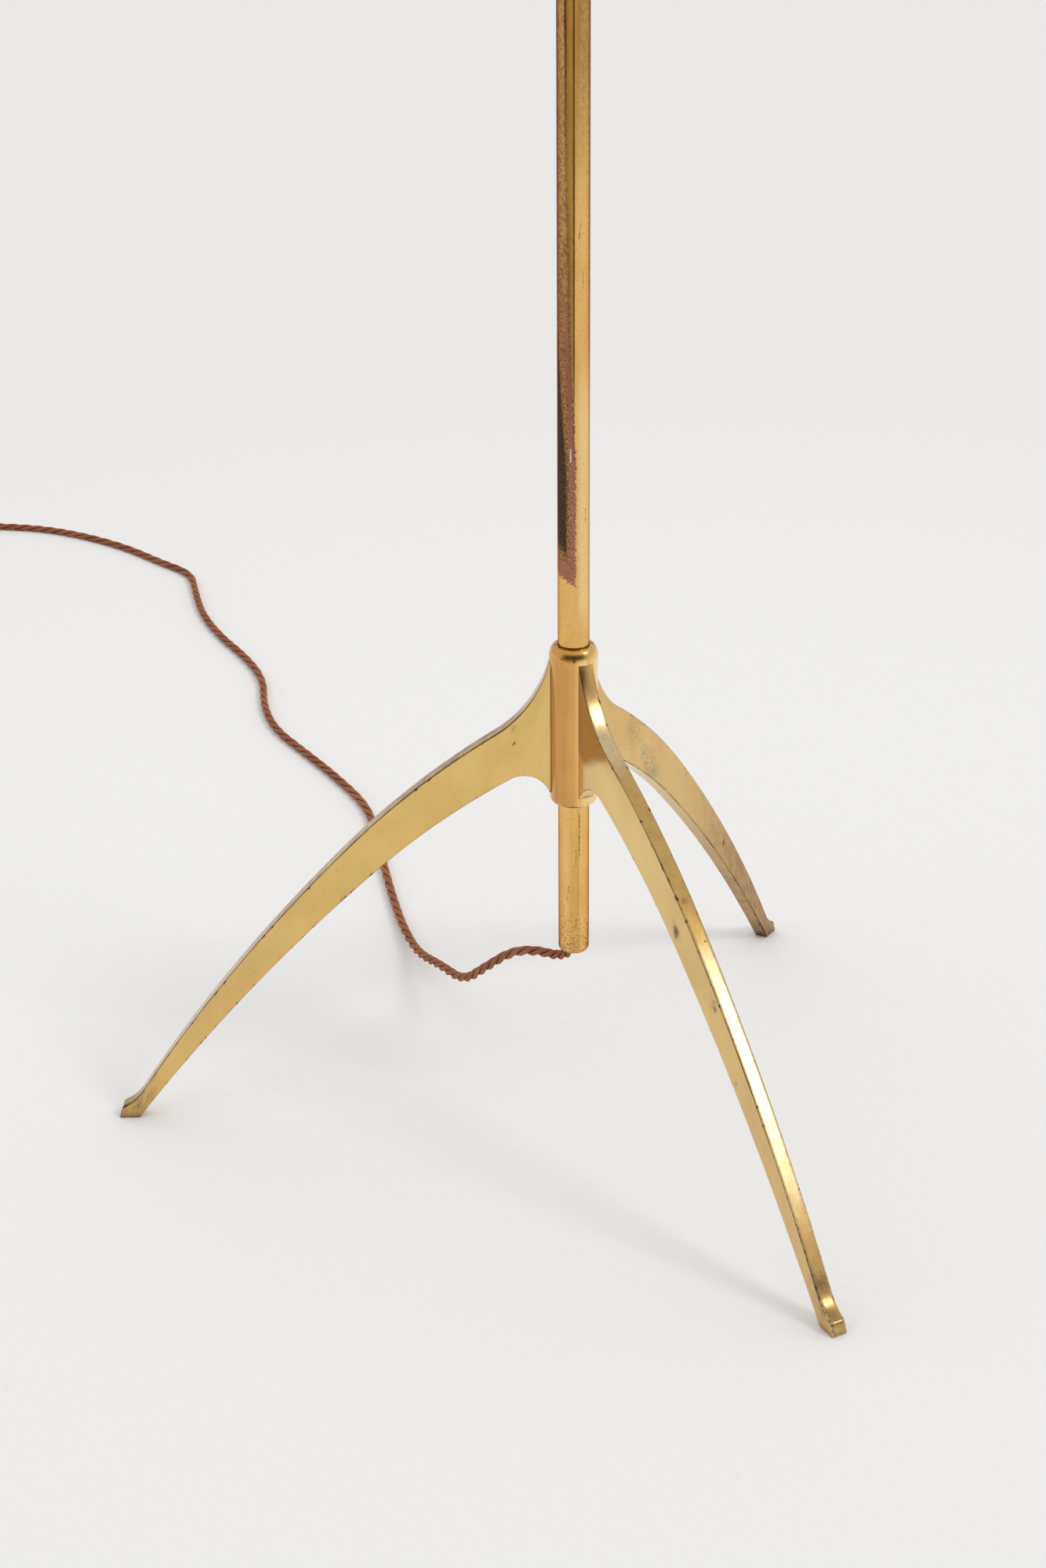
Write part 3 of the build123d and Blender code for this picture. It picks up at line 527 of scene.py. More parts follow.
def leg_finish(
    name, shift, pale, deep, top_tone, foot_tone, foot_share, hub_reflection_share, lacquer, painted_highlight_spans, marks,
):
    """Half-polished brass of one leg. Its top is painted pale in spans along it, as painted highlights.
    Each mark is a spot: place along and across, side, size, tone and share."""
    brass = Finish(name)
    laid = brass.mark("leg_place", "Vector")
    along, across, side = laid.axes()
    own = laid.moved(shift)
    corner = brass.mark("corner")
    cloud = own.noise(30.0, detail=6.0, roughness=0.6)
    filing = own.stretched((70.0, 1600.0, 1600.0)).noise(1.0, detail=3.0)
    grain = own.noise(2400.0, detail=2.0)
    patch = own.noise(150.0, detail=6.0, roughness=0.7)
    speckle = own.noise(620.0, detail=4.0, roughness=0.65)
    brass.tone = cloud.step(0.3, 0.7).mix(deep, pale)
    brass.wash(filing.step(0.5, 0.8) * 0.1, paint(190, 150, 88))
    # The thin upper face has a tone of its own, and painted highlights lighten it in spans along it.
    on_top = across.step(0.0005, 0.0001)
    top = on_top * patch.step(0.36, 0.62).scaled(0.2, 0.85)
    brass.wash(top, top_tone)
    for low, high in painted_highlight_spans:
        painted_highlight = along.step(low, low + 0.02) * along.step(high, high - 0.03)
        painted_highlight = painted_highlight * on_top * patch.step(0.4, 0.6).scaled(0.9, 0.6)
        brass.wash(painted_highlight, paint(240, 222, 176))
    # The leg grows dull towards its foot, and a painted reflection of the hub darkens one side under the
    # hub.
    foot = along.step(0.1, 0.26) * foot_share * patch.step(0.35, 0.65).scaled(0.6, 1.0)
    brass.wash(foot, foot_tone)
    # Painted reflection: one side is painted browner below a slanted line under the hub.
    hub_reflection_area = (across + along * 1.6).step(0.054, 0.048)
    painted_hub_reflection = hub_reflection_area * side.step(-0.0038, -0.0041) * hub_reflection_share
    brass.wash(painted_hub_reflection, paint(146, 96, 46))
    brown = (patch + corner * 0.08).step(0.64, 0.78)
    brass.wash(brown * 0.5, paint(150, 104, 62))
    # Darker along the lowest few millimetres and at the toe, and freckles.
    height = brass.place().axes()[2]
    sole = height.step(0.0055, 0.0004) * patch.step(0.35, 0.6).scaled(0.3, 0.8)
    toe = along.step(0.292, 0.312) * patch.step(0.38, 0.62).scaled(0.1, 0.45)
    brass.wash(sole.most(toe), paint(116, 86, 46))
    freckle = speckle.step(0.58, 0.68) * (on_top * 0.4 + foot * 0.6)
    brass.wash(freckle, paint(126, 92, 54))
    # Dark worn corners, which are pale by the foot on the leg whose top has painted highlights.
    line_fade = own.noise(46.0, detail=3.0).step(0.35, 0.6).scaled(0.4, 0.95)
    worn = corner.step(0.82, 1.0) * line_fade
    beads = corner.step(0.4, 0.8) * own.noise(230.0, detail=2.0).step(0.6, 0.66)
    worn_tone = paint(82, 52, 31)
    if painted_highlight_spans:
        rubbed_corner = along.step(0.225, 0.25) * speckle.step(0.42, 0.5)
        worn_tone = rubbed_corner.mix(worn_tone, paint(244, 216, 156))
    brass.wash(worn.most(beads), worn_tone)
    # Scattered dots, this leg's own spots, and the line where it meets the barrel.
    dots = own.specks(330.0).step(0.1, 0.05) * own.noise(55.0).step(0.52, 0.64)
    brass.wash(dots * 0.75, DARK_BROWN)
    for mark_along, mark_across, mark_side, size, mark_tone, share in marks:
        far = laid.moved((-mark_along, -mark_across, -mark_side * LEG_HALF)).length()
        spot = (far + patch * (size * 2.6)).step(size * 2.4, size * 1.4)
        if share < 0.9:
            spot = spot * speckle.step(0.38, 0.58)
        brass.wash(spot * share, mark_tone)
    joint = brass.mark("from_hub").step(0.00055, 0.0003) * across.step(0.002, 0.006)
    brass.wash(joint * 0.8, paint(110, 66, 38))
    dull = cloud.scaled(0.08, 0.15) + foot * 0.12 + on_top * 0.1
    brass.set(
        Base_Color=brass.tone,
        Metallic=1.0,
        Roughness=dull + brown * 0.15,
        Coat_Weight=lacquer,
        Coat_Roughness=0.12,
        Normal=filing.raised(0.000012, under=grain.raised(0.000008)),
    )
    return brass


LEGS = {
    "leg_left": (180.0, leg_finish(
        "leg_left_brass", shift=(0.0, 0.0, 0.0), pale=paint(234, 197, 118), deep=paint(221, 181, 105),
        top_tone=paint(150, 100, 50), foot_tone=paint(206, 166, 106), foot_share=0.3, hub_reflection_share=0.0,
        lacquer=0.7, painted_highlight_spans=(),
        marks=[
            (0.0233, 0.0036, 1, 0.0024, RED_BROWN, 0.8), (0.0245, 0.0112, 1, 0.0012, DARK_BROWN, 0.9),
            (0.144, 0.0176, 1, 0.0012, DARK_BROWN, 0.8), (0.318, 0.006, 1, 0.005, RED_BROWN, 0.6),
        ],
    )),
    "leg_front": (300.0, leg_finish(
        "leg_front_brass", shift=(3.1, 0.4, 0.0), pale=paint(234, 197, 122), deep=paint(221, 182, 108),
        top_tone=paint(216, 168, 94), foot_tone=paint(206, 168, 112), foot_share=0.4, hub_reflection_share=0.65,
        lacquer=0.7, painted_highlight_spans=((0.004, 0.052), (0.128, 0.29)),
        marks=[
            (0.119, 0.0128, -1, 0.005, RED_BROWN, 0.6), (0.119, 0.0128, -1, 0.003, GREEN_BLACK, 0.95),
            (0.163, 0.0052, -1, 0.0055, RED_BROWN, 0.6), (0.165, 0.0056, -1, 0.0023, GREEN_BLACK, 0.95),
            (0.112, 0.0, 0, 0.003, DARK_BROWN, 0.5), (0.134, 0.0, 0.4, 0.0008, DARK_BROWN, 0.9),
            (0.092, 0.0, -1, 0.0012, DARK_BROWN, 0.95), (0.1, 0.0, -1, 0.0015, DARK_BROWN, 0.95),
            (0.109, 0.0, -1, 0.0013, DARK_BROWN, 0.95), (0.122, 0.0, -1, 0.0014, DARK_BROWN, 0.95),
            (0.198, 0.013, -1, 0.002, RED_BROWN, 0.7), (0.31, 0.0, 0, 0.006, DARK_BROWN, 0.6),
        ],
    )),
    "leg_rear": (60.0, leg_finish(
        "leg_rear_brass", shift=(7.3, 0.9, 0.0), pale=paint(230, 192, 122), deep=paint(218, 179, 110),
        top_tone=paint(202, 162, 106), foot_tone=paint(150, 104, 58), foot_share=0.85, hub_reflection_share=0.0,
        lacquer=0.0, painted_highlight_spans=(),
        marks=[
            (0.056, 0.009, -1, 0.013, RED_BROWN, 0.35), (0.084, 0.017, -1, 0.015, RED_BROWN, 0.35),
            (0.073, 0.0146, -1, 0.008, VERDIGRIS, 0.75), (0.092, 0.0183, -1, 0.007, VERDIGRIS, 0.75),
            (0.213, 0.0079, -1, 0.0028, DARK_BROWN, 0.9), (0.25, 0.004, -1, 0.006, RED_BROWN, 0.5),
            (0.318, 0.008, -1, 0.006, DARK_BROWN, 0.6), (0.318, 0.008, 1, 0.006, DARK_BROWN, 0.6),
        ],
    )),
}
for name, (azimuth, leg_brass) in LEGS.items():
    rng = random.Random(name)
    points = []
    corners = []
    places = []
    hub_gaps = []
    along = 0.0
    around = Matrix.Rotation(math.radians(azimuth), 3, "Z")
    before = (upper_stations[0] + lower_stations[0]) / 2
    for upper, lower in zip(upper_stations, lower_stations):
        middle = (upper + lower) / 2
        along += (middle - before).length
        before = middle
        rounding = 1.0 + TOE_WEAR * clamped((along - TOE_FROM) / TOE_OVER)
        section = leg_section(upper, lower, rng.uniform(LEAST_WEAR, MOST_WEAR) * rounding)
        for point, side, mark in section:
            wrap = clamped((point.y - WRAP_LOW) / (WRAP_HIGH - WRAP_LOW))
            out = point.x - wrap * (BARREL_R - math.sqrt(BARREL_R ** 2 - side ** 2))
            points.append(around @ Vector((out, side, point.y)))
            corners.append(mark * (1.0 - WRAP_FADE * wrap ** 4))
            places += [along, (point - upper).length, side]
            hub_gaps.append(math.hypot(out, side) - BARREL_R)
    faces = [tuple(reversed(face)) for face in tube_faces(0, len(upper_stations), len(section))]
    leg = made_mesh("tripod_" + name, points, faces, leg_brass, sharp=50.0)
    lay_on(leg, "corner", corners)
    lay_on(leg, "leg_place", places)
    lay_on(leg, "from_hub", hub_gaps)
    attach(leg, "tripod")
    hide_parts(name)


# Clamp screw: a slotted steel screw through the hub's wall from behind, which pinches the stem.
def dress(finish, *names):
    """Gives CAD nodes their finish."""
    for name in names:
        nodes[name].data.materials.clear()
        nodes[name].data.materials.append(finish.material)


def turned_metal(name, pale, deep, rough):
    """Bright turned metal with fine rings and a little dulling."""
    metal = Finish(name)
    cloud = metal.place().noise(160.0, detail=5.0)
    rings = metal.place((30.0, 30.0, 4200.0)).noise(1.0, detail=2.0)
    metal.tone = cloud.step(0.3, 0.7).mix(deep, pale)
    metal.wash(rings.step(0.55, 0.8) * 0.2, deep)
    metal.set(
        Base_Color=metal.tone,
        Metallic=1.0,
        Roughness=cloud.scaled(rough * 0.75, rough * 1.35),
        Normal=rings.raised(0.00001),
    )
    return metal


screw_steel = turned_metal("screw_steel", paint(196, 192, 186), paint(150, 144, 136), 0.26)
dress(screw_steel, "clamp_screw", "plug_screw", "terminal_screws")


# Stem: drawn brass tube that passes through the hub, its lower end spun in round the flex. The old
# lacquer has kept it golden, with a long dark stain above the hub where it once sat lower.
STEM_R = 0.008
STEM_BORE = 0.007
STEM_FOOT = 0.098
STEM_MIDDLE = 0.6
STEM_UPPER = 0.9
STEM_TOP = 1.230
LIP_ROUND = 0.0032
LIP_HOLE = STEM_R - LIP_ROUND
STEM_WALL = STEM_R - STEM_BORE
STAIN_LOW = 0.304
STAIN_BEND = 0.365
STAIN_FADES = 0.40
STAIN_END = 0.475
STAIN_TURN = 0.14
CHIP_Z = 0.371
CHIP_TURN = -0.2
stem_brass = Finish("stem_brass")
stem_where = stem_brass.place()
stem_x, stem_y, stem_z = stem_where.axes()
stem_turn = stem_x.math("ARCTAN2", stem_y * -1.0)
stem_cloud = stem_brass.place((1.0, 1.0, 0.35)).noise(90.0, detail=6.0, roughness=0.6)
stem_fine = stem_where.noise(520.0, detail=6.0, roughness=0.72)
stem_pits = stem_where.noise(1300.0, detail=3.0, roughness=0.6)
stem_drawn = stem_brass.place((1300.0, 1300.0, 14.0)).noise(1.0, detail=3.0)
stem_brass.tone = stem_cloud.step(0.3, 0.7).mix(paint(228, 178, 98), paint(242, 199, 119))
stem_brass.wash(stem_drawn.step(0.55, 0.8) * 0.25, paint(196, 140, 78))
# The left and right of the front half are darker red-brown, more so higher up, and a painted reflection
# lightens the right just above the hub.
left_side = stem_turn.step(-0.8, -1.3)
right_side = stem_turn.step(0.85, 1.3)
edge_rise = stem_z.step(0.27, 0.5).scaled(0.22, 1.0)
turn_aside = abs(stem_turn)
in_front = turn_aside.step(2.3, 1.6)
side_darkening = left_side.most(right_side) * edge_rise * in_front
edge_mottle = (stem_fine + side_darkening * 0.2).step(0.5, 0.66)
edge_share = side_darkening * edge_mottle.scaled(0.35, 0.95)
stem_brass.wash(edge_share, paint(142, 86, 74))
stem_mottle = (stem_fine + stem_pits * 0.6).step(0.68, 0.92)
right_high = stem_turn.step(0.05, 0.5) * stem_z.step(0.48, 0.575)
right_high = right_high * stem_mottle.scaled(0.4, 0.65) * in_front
stem_brass.wash(right_high, paint(132, 82, 50))
low_left = stem_z.step(0.53, 0.43)
left_age = (stem_turn + low_left * -0.22).step(-0.2, -0.55) * stem_z.step(0.37, 0.41)
left_age = left_age * (stem_mottle.scaled(0.4, 0.8) + low_left * 0.16) * in_front
stem_brass.wash(left_age, paint(122, 75, 52))
# Painted reflection: a pale strip on the right just above the hub.
right_painted_reflection = stem_z.step(0.272, 0.30) * stem_z.step(0.44, 0.38) * stem_turn.step(0.15, 0.5)
stem_brass.wash(right_painted_reflection * 0.6, paint(252, 226, 164))
# The stub under the hub is warmer in front. Specks and fine age lie all over.
on_stub = stem_z.step(HUB_LOW, HUB_LOW - 0.02)
stub_warm = stem_turn.step(-0.55, -0.1) * stem_turn.step(0.42, 0.3) * on_stub
stem_brass.wash(stub_warm * 0.35, paint(206, 140, 62))
stem_specks = stem_where.specks(560.0).step(0.14, 0.06)
speck_share = stem_specks * stem_cloud.step(0.36, 0.58)
stem_brass.wash(speck_share * 0.7, paint(92, 52, 36))
stem_brass.wash(stem_pits.step(0.54, 0.68) * 0.3, paint(150, 96, 58))
# The long stain lies on the left of the front, above a sharp tide line: a purple rim, a mottled band
# and a nearly black core, with one bare chip.
above_bend = (stem_z - STAIN_BEND).most(0.0)
round_depth = (stem_turn * -1.0 + STAIN_TURN) * STEM_R + above_bend * -0.04
up_depth = (stem_z + stem_turn * 0.004 - STAIN_LOW) * 0.33
stain_depth = round_depth.least(up_depth) + stem_fine * 0.003 + stem_pits * 0.003 - 0.003
stain_fade = stem_z.step(STAIN_END, STAIN_FADES) * in_front
rim = stain_depth.step(0.0, 0.0003) * stain_fade
rim = rim * stem_pits.step(0.35, 0.55).scaled(0.65, 0.95)
stem_brass.wash(rim, paint(150, 90, 80))
halo_tone = stem_pits.step(0.42, 0.6).mix(paint(188, 136, 70), paint(92, 60, 42))
halo = stain_depth.step(0.0026, 0.0036) * stain_fade
stem_brass.wash(halo * 0.8, halo_tone)
core_depth = stain_depth + above_bend * -0.05
stain = core_depth.step(0.0036, 0.0057) * stain_fade
stain_tone = stem_pits.step(0.45, 0.68).mix(paint(46, 36, 30), paint(110, 80, 56))
stem_brass.wash(stain * 0.97, stain_tone)
chip_up = (stem_z - CHIP_Z) * 170.0
chip_across = (stem_turn - CHIP_TURN) * 14.0
chip_far = stem_brass.value("CombineXYZ", {0: chip_up, 1: chip_across}).length()
chip = (chip_far + stem_pits).step(1.35, 0.9)
stem_brass.wash(chip, paint(214, 212, 214))
# Dirt on the stub, mostly low down and at its sides, and then the scratches.
stub_age = stem_z.step(STEM_FOOT + 0.042, STEM_FOOT) + turn_aside.step(0.7, 1.3) * 0.5
stub_age = stub_age * on_stub
stub_dirt = (stem_pits + stub_age * 0.16).step(0.66, 0.74) * stub_age.step(0.05, 0.5)
stem_brass.wash(stub_dirt * 0.75, paint(112, 70, 72))
scratch = stem_brass.place((900.0, 900.0, 55.0)).noise(1.0, detail=2.0).step(0.74, 0.78)
SCRATCHES = (
    (0.36, 0.0, 0.153, 0.182, 0.055), (0.13, 0.0, 0.148, 0.160, 0.035), (-0.41, 15.0, 0.128, 0.140, 0.04),
    (-0.1, -90.0, 0.4755, 0.479, 0.05), (0.36, 14.0, 0.477, 0.486, 0.05), (0.6, 0.0, 0.453, 0.464, 0.04),
    (0.8, 0.0, 0.336, 0.345, 0.04), (-0.8, 0.0, 0.422, 0.426, 0.07),
)
for turn, lean, low, high, width in SCRATCHES:
    off_line = abs(stem_turn + (stem_z - (low + high) / 2) * -lean - turn)
    line = off_line.step(width, width * 0.5) * stem_pits.step(0.42, 0.5)
    fade = (high - low) * 0.15
    span = stem_z.step(low, low + fade) * stem_z.step(high, high - fade)
    scratch = scratch.most(line * span)
stem_brass.wash(scratch * 0.75, paint(104, 60, 38))
stem_brass.set(
    Base_Color=stem_brass.tone,
    Metallic=1.0,
    Roughness=stem_cloud.scaled(0.09, 0.19) + stain * 0.2,
    Coat_Weight=0.25,
    Coat_Roughness=0.1,
    Specular_Tint=paint(196, 150, 122),
    Normal=stem_drawn.raised(0.000012),
)
inner_round = LIP_ROUND - STEM_WALL
stem_outline = [
    *arc((LIP_HOLE, STEM_FOOT + LIP_ROUND), (LIP_ROUND, LIP_ROUND), -90, 0, 14),
    *((STEM_R, height) for height in (HUB_LOW, HUB_TOP, STEM_MIDDLE, STEM_UPPER, STEM_TOP)),
    (STEM_BORE, STEM_TOP), (STEM_BORE, STEM_MIDDLE),
    *arc((LIP_HOLE, STEM_FOOT + LIP_ROUND), (inner_round, inner_round), 0, -90, 8),
]
stem = turned("stem_tube_drawn", stem_outline, stem_brass, sides=160)
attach(stem, "stem")
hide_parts("stem_tube")


# Flex: three insulated strands in brown cloth, twisted together. It leaves the stem's foot, hangs to the
# floor and wanders back to the left, where the spare length is wound up and tied beside the plug.
FLEX_OD = 0.0053
FLEX_BED = 0.00275
HANGING = (
    (0.0, 0.0, 0.10595), (0.0, 0.0, 0.0974), (-0.0072, 0.0054, 0.0906), (-0.0201, 0.0175, 0.0883),
    (-0.0331, 0.0375, 0.0769), (-0.0476, 0.060, 0.0555), (-0.0602, 0.087, 0.0327), (-0.0738, 0.127, 0.0218),
    (-0.0883, 0.167, 0.0085), (-0.0984, 0.2087, 0.0039),
)
ON_FLOOR = (
    (-0.1061, 0.2501), (-0.1134, 0.2954), (-0.1208, 0.3468), (-0.1284, 0.3884), (-0.1517, 0.4361),
    (-0.1761, 0.4787), (-0.1981, 0.5166), (-0.2094, 0.5601), (-0.2127, 0.6077), (-0.2288, 0.6512),
    (-0.2505, 0.6913), (-0.2699, 0.7409), (-0.2804, 0.7936), (-0.2866, 0.8299), (-0.3132, 0.8563),
    (-0.3443, 0.8914), (-0.3798, 0.9192), (-0.4169, 0.9393), (-0.458, 0.9475),
)
COIL_CENTRE = Vector((-0.532, 0.9075, 0.0))
COIL_TURNS = 6.25
COIL_STEP = 0.0059
COIL_INNER = 0.030 - COIL_STEP * COIL_TURNS / 4
COIL_BED = 0.00395
COIL_APPROACH = 0.034
POINTS_PER_TURN = 16
CLIMB_TURNS = 0.5
TAIL_LEAVE = 0.024
TAIL_BEND = (0.0006, -0.050)
TAIL_BEND_Z = 0.0136
PLUG_AWAY = 0.074
PLUG_Z = 0.0186


def eased(value):
    """Smooth rise from 0 at 0 to 1 at 1, and level beyond."""
    share = clamped(value)
    return share * share * (3 - 2 * share)


def coil_point(turn):
    """The flex in its coil: in on the lower layer, up at the middle, out on the upper layer."""
    from_middle = turn - COIL_TURNS / 2
    radius = COIL_INNER + COIL_STEP * abs(from_middle)
    angle = math.radians(90 + 360 * turn)
    height = COIL_BED + COIL_STEP * eased(from_middle / CLIMB_TURNS + 0.5)
    return COIL_CENTRE + Vector((radius * math.cos(angle), radius * math.sin(angle), height))


def coil_direction(turn):
    step = 0.01
    return (coil_point(turn + step) - coil_point(turn - step)).normalized()


coil_count = round(COIL_TURNS * POINTS_PER_TURN)
coil_route = [coil_point(COIL_TURNS * index / coil_count) for index in range(coil_count + 1)]
coil_mouth = coil_route[0] - coil_direction(0) * FLEX_OD
coil_exit = coil_direction(COIL_TURNS)
coil_tip = coil_route[-1] + coil_exit * FLEX_OD
PLUG_MOUTH = Vector((coil_tip.x, coil_tip.y - PLUG_AWAY, PLUG_Z))
PLUG_GRIP = Vector((0.0, 0.010, 0.0))
flex_route = [
    *(Vector(point) for point in HANGING),
    *(Vector((x, y, FLEX_BED)) for x, y in ON_FLOOR),
    coil_mouth - coil_direction(0) * COIL_APPROACH, coil_mouth, *coil_route, coil_tip,
    coil_tip + coil_exit * TAIL_LEAVE,
    Vector((coil_tip.x + TAIL_BEND[0], coil_tip.y + TAIL_BEND[1], TAIL_BEND_Z)),
    PLUG_MOUTH + PLUG_GRIP, PLUG_MOUTH - PLUG_GRIP,
]


def line_points(name, route, resolution):
    """Points read from a smooth curve with the route as its control points."""
    curve = bpy.data.curves.new(name, "CURVE")
    curve.dimensions = "3D"
    curve.resolution_u = resolution
    spline = curve.splines.new("NURBS")
    spline.points.add(len(route) - 1)
    for point, place in zip(spline.points, route):
        point.co = (*place, 1.0)
    spline.order_u = 3
    spline.use_endpoint_u = True
    holder = bpy.data.objects.new(name, curve)
    mesh = bpy.data.meshes.new_from_object(holder)
    points = [vertex.co.copy() for vertex in mesh.vertices]
    bpy.data.objects.remove(holder)
    bpy.data.meshes.remove(mesh)
    bpy.data.curves.remove(curve)
    return points


def even_points(points, spacing):
    """The same line with points a set distance apart."""
    even = [points[0]]
    short = spacing
    for here, there in zip(points, points[1:]):
        run = (there - here).length
        at = short
        while at <= run:
            even.append(here.lerp(there, at / run))
            at += spacing
        short = at - run
    even.append(points[-1])
    return even


def carried_frames(points):
    """Two directions across the line at each point, carried along it without twisting."""
    frames = []
    side = None
    for index, point in enumerate(points):
        ahead = points[min(index + 1, len(points) - 1)] - points[max(index - 1, 0)]
        ahead.normalize()
        if side is None:
            side = ahead.orthogonal()
        side = (side - ahead * side.dot(ahead)).normalized()
        frames.append((side.copy(), ahead.cross(side)))
    return frames


STRANDS = 3
STRAND_R = 0.0013
STRAND_OUT = FLEX_OD / 2 - STRAND_R
STRAND_SPACING = 0.001
TIGHT_LAY = 0.014
LOOSE_LAY = 0.036
FREE_FROM = 0.012
FREE_OVER = 0.045
LAY_SWAYS = ((0.08, 21.0), (0.06, 57.0))
flex_cloth = Finish("flex_cloth")
weave_at = flex_cloth.mark("strand_place", "Vector")
braid = weave_at.stretched((900.0, 2600.0, 40.0)).noise(1.0, detail=2.0)
fade = flex_cloth.place().noise(60.0, detail=4.0)
flex_cloth.tone = fade.step(0.3, 0.7).mix(paint(151, 87, 51), paint(169, 102, 61))
flex_cloth.wash(braid.step(0.45, 0.7) * 0.22, paint(118, 64, 42))
# Painted shade darkens the creases between the strands.
flex_cloth.wash(flex_cloth.mark("crease_shade").step(0.44, 0.78), paint(44, 20, 13))
flex_cloth.set(
    Base_Color=flex_cloth.tone,
    Roughness=0.6,
    Specular_IOR_Level=0.3,
    Normal=braid.raised(0.00012),
)


def twisted_flex(name, line, sides):
    """Strands laid round a line with a left-hand twist that tightens and slackens a little.
    The twist is tightest where the flex first leaves the stem."""
    frames = carried_frames(line)
    points = []
    faces = []
    places = []
    crease_shades = []
    twist = 0.0
    twists = []
    run = 0.0
    for here, there in zip(line, [*line[1:], line[-1]]):
        twists.append(twist)
        lay = TIGHT_LAY + (LOOSE_LAY - TIGHT_LAY) * eased((run - FREE_FROM) / FREE_OVER)
        lay *= 1.0 + sum(share * math.sin(run * rate) for share, rate in LAY_SWAYS)
        twist -= math.tau * (there - here).length / lay
        run += (there - here).length
    for strand in range(STRANDS):
        base = len(points)
        run = 0.0
        for index, (point, (side, up)) in enumerate(zip(line, frames)):
            angle = twists[index] + math.tau * strand / STRANDS
            out = side * math.cos(angle) + up * math.sin(angle)
            beside = up * math.cos(angle) - side * math.sin(angle)
            for facet in range(sides):
                turn = math.tau * facet / sides
                reach = out * math.cos(turn) + beside * math.sin(turn)
                points.append(point + out * STRAND_OUT + reach * STRAND_R)
                places += [run, abs(turn - math.pi) * STRAND_R, float(strand)]
                crease_shades.append(0.5 - 0.5 * math.cos(turn))
            run += (line[min(index + 1, len(line) - 1)] - point).length
        faces += tube_faces(base, len(line), sides)
    made = made_mesh(name, points, faces, flex_cloth, sharp=60.0)
    lay_on(made, "strand_place", places)
    lay_on(made, "crease_shade", crease_shades)
    return made


flex_line = even_points(line_points("flex_line", flex_route, 24), STRAND_SPACING)
flex = twisted_flex("flex_twisted", flex_line, 10)
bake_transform(flex)
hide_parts("flex_run", "flex_coil", "flex_tail")


# Inside the stem: a black insulating bush in its lower end, and the same flex straight up through the
# bore. At the top its three cores part and go to their terminals.
BUSH_LOW = 0.106
INNER_TOP = 1.24612
INNER_SPACING = 0.002
CORE_SPACING = 0.0004
CORE_R = 0.00105
CORE_ROUTE = ((0.00145, INNER_TOP + 0.0004), (0.00145, 1.2484), (0.0046, 1.2496), (0.0068, 1.2508))
CORE_TURNS = (90.0, 210.0, 330.0)


def moulded(name, pale, deep, rough, grain=900.0, depth=0.00002):
    """Moulded plastic, rubber or ceramic with a fine grain and a little unevenness."""
    made = Finish(name)
    cloud = made.place().noise(120.0, detail=5.0, roughness=0.6)
    skin = made.place().noise(grain, detail=4.0, roughness=0.6)
    made.tone = cloud.step(0.3, 0.7).mix(deep, pale)
    made.wash(skin.step(0.62, 0.72) * 0.3, deep)
    made.set(
        Base_Color=made.tone,
        Roughness=skin.scaled(rough * 0.8, rough * 1.2),
        Normal=skin.raised(depth),
    )
    return made


def round_wires(name, lines, radius, finish, sides=12):
    """Round wires of one thickness along lines of points, closed at their ends."""
    points = []
    faces = []
    for line in lines:
        base = len(points)
        for point, (side, up) in zip(line, carried_frames(line)):
            for facet in range(sides):
                turn = math.tau * facet / sides
                points.append(point + (side * math.cos(turn) + up * math.sin(turn)) * radius)
        faces += tube_faces(base, len(line), sides)
    return made_mesh(name, points, faces, finish, sharp=50.0)


bush_plastic = moulded("bush_plastic", paint(52, 46, 42), paint(34, 30, 28), 0.42)
dress(bush_plastic, "cord_bush")
inner_line = even_points([Vector((0.0, 0.0, BUSH_LOW)), Vector((0.0, 0.0, INNER_TOP))], INNER_SPACING)
inner_flex = twisted_flex("flex_in_stem", inner_line, 7)
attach(inner_flex, "stem")
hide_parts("inner_flex")
core_lines = []
for core_turn in CORE_TURNS:
    core_around = Matrix.Rotation(math.radians(core_turn), 3, "Z")
    core_points = [core_around @ Vector((out, 0.0, height)) for out, height in CORE_ROUTE]
    core_lines.append(even_points(line_points("core_line", core_points, 12), CORE_SPACING))
core_plastic = moulded("core_plastic", paint(126, 120, 114), paint(98, 92, 86), 0.45)
cores = round_wires("flex_cores_bent", core_lines, CORE_R, core_plastic)
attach(cores, "stem")
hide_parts("flex_cores")


# Lampholder: a spun brass cap locked to the nipple by a nut, and over it a threaded brass body. A ceramic
# insert and liner inside carry the contacts and the screw shell for the bulb.
CAP_LOW = 1.232
CAP_TOP = 1.268
CAP_SIDE = 1.2515
CAP_GROOVE = ((0.0, 0.0017), (0.0004, 0.002), (0.0004, 0.0026), (0.0, 0.0029))
CAP_R = 0.019
CAP_BORE = 0.018
CAP_WALL = 0.001
BOSS_R = 0.00923
BOSS_BORE = 0.00823
BOSS_HEIGHT = 0.0065
BOSS_ROUND = 0.0006
BRASS_ARRIS = 0.0003
SHELF_R = 0.016
SHELF_TOP = 1.252
SHELF_LOW = 1.250
NIPPLE_HOLE = 0.00505
BODY_LOW = 1.263
BODY_SKIRT_TOP = 1.268
BODY_TOP = 1.298
BODY_R = 0.020
BODY_BORE = 0.0185
SKIRT_BORE = CAP_R + 0.00005
BODY_LIP_R = 0.0151
BODY_LIP_LOW = 1.2964
THREAD_PITCH = 0.0021
THREAD_DEPTH = 0.00042


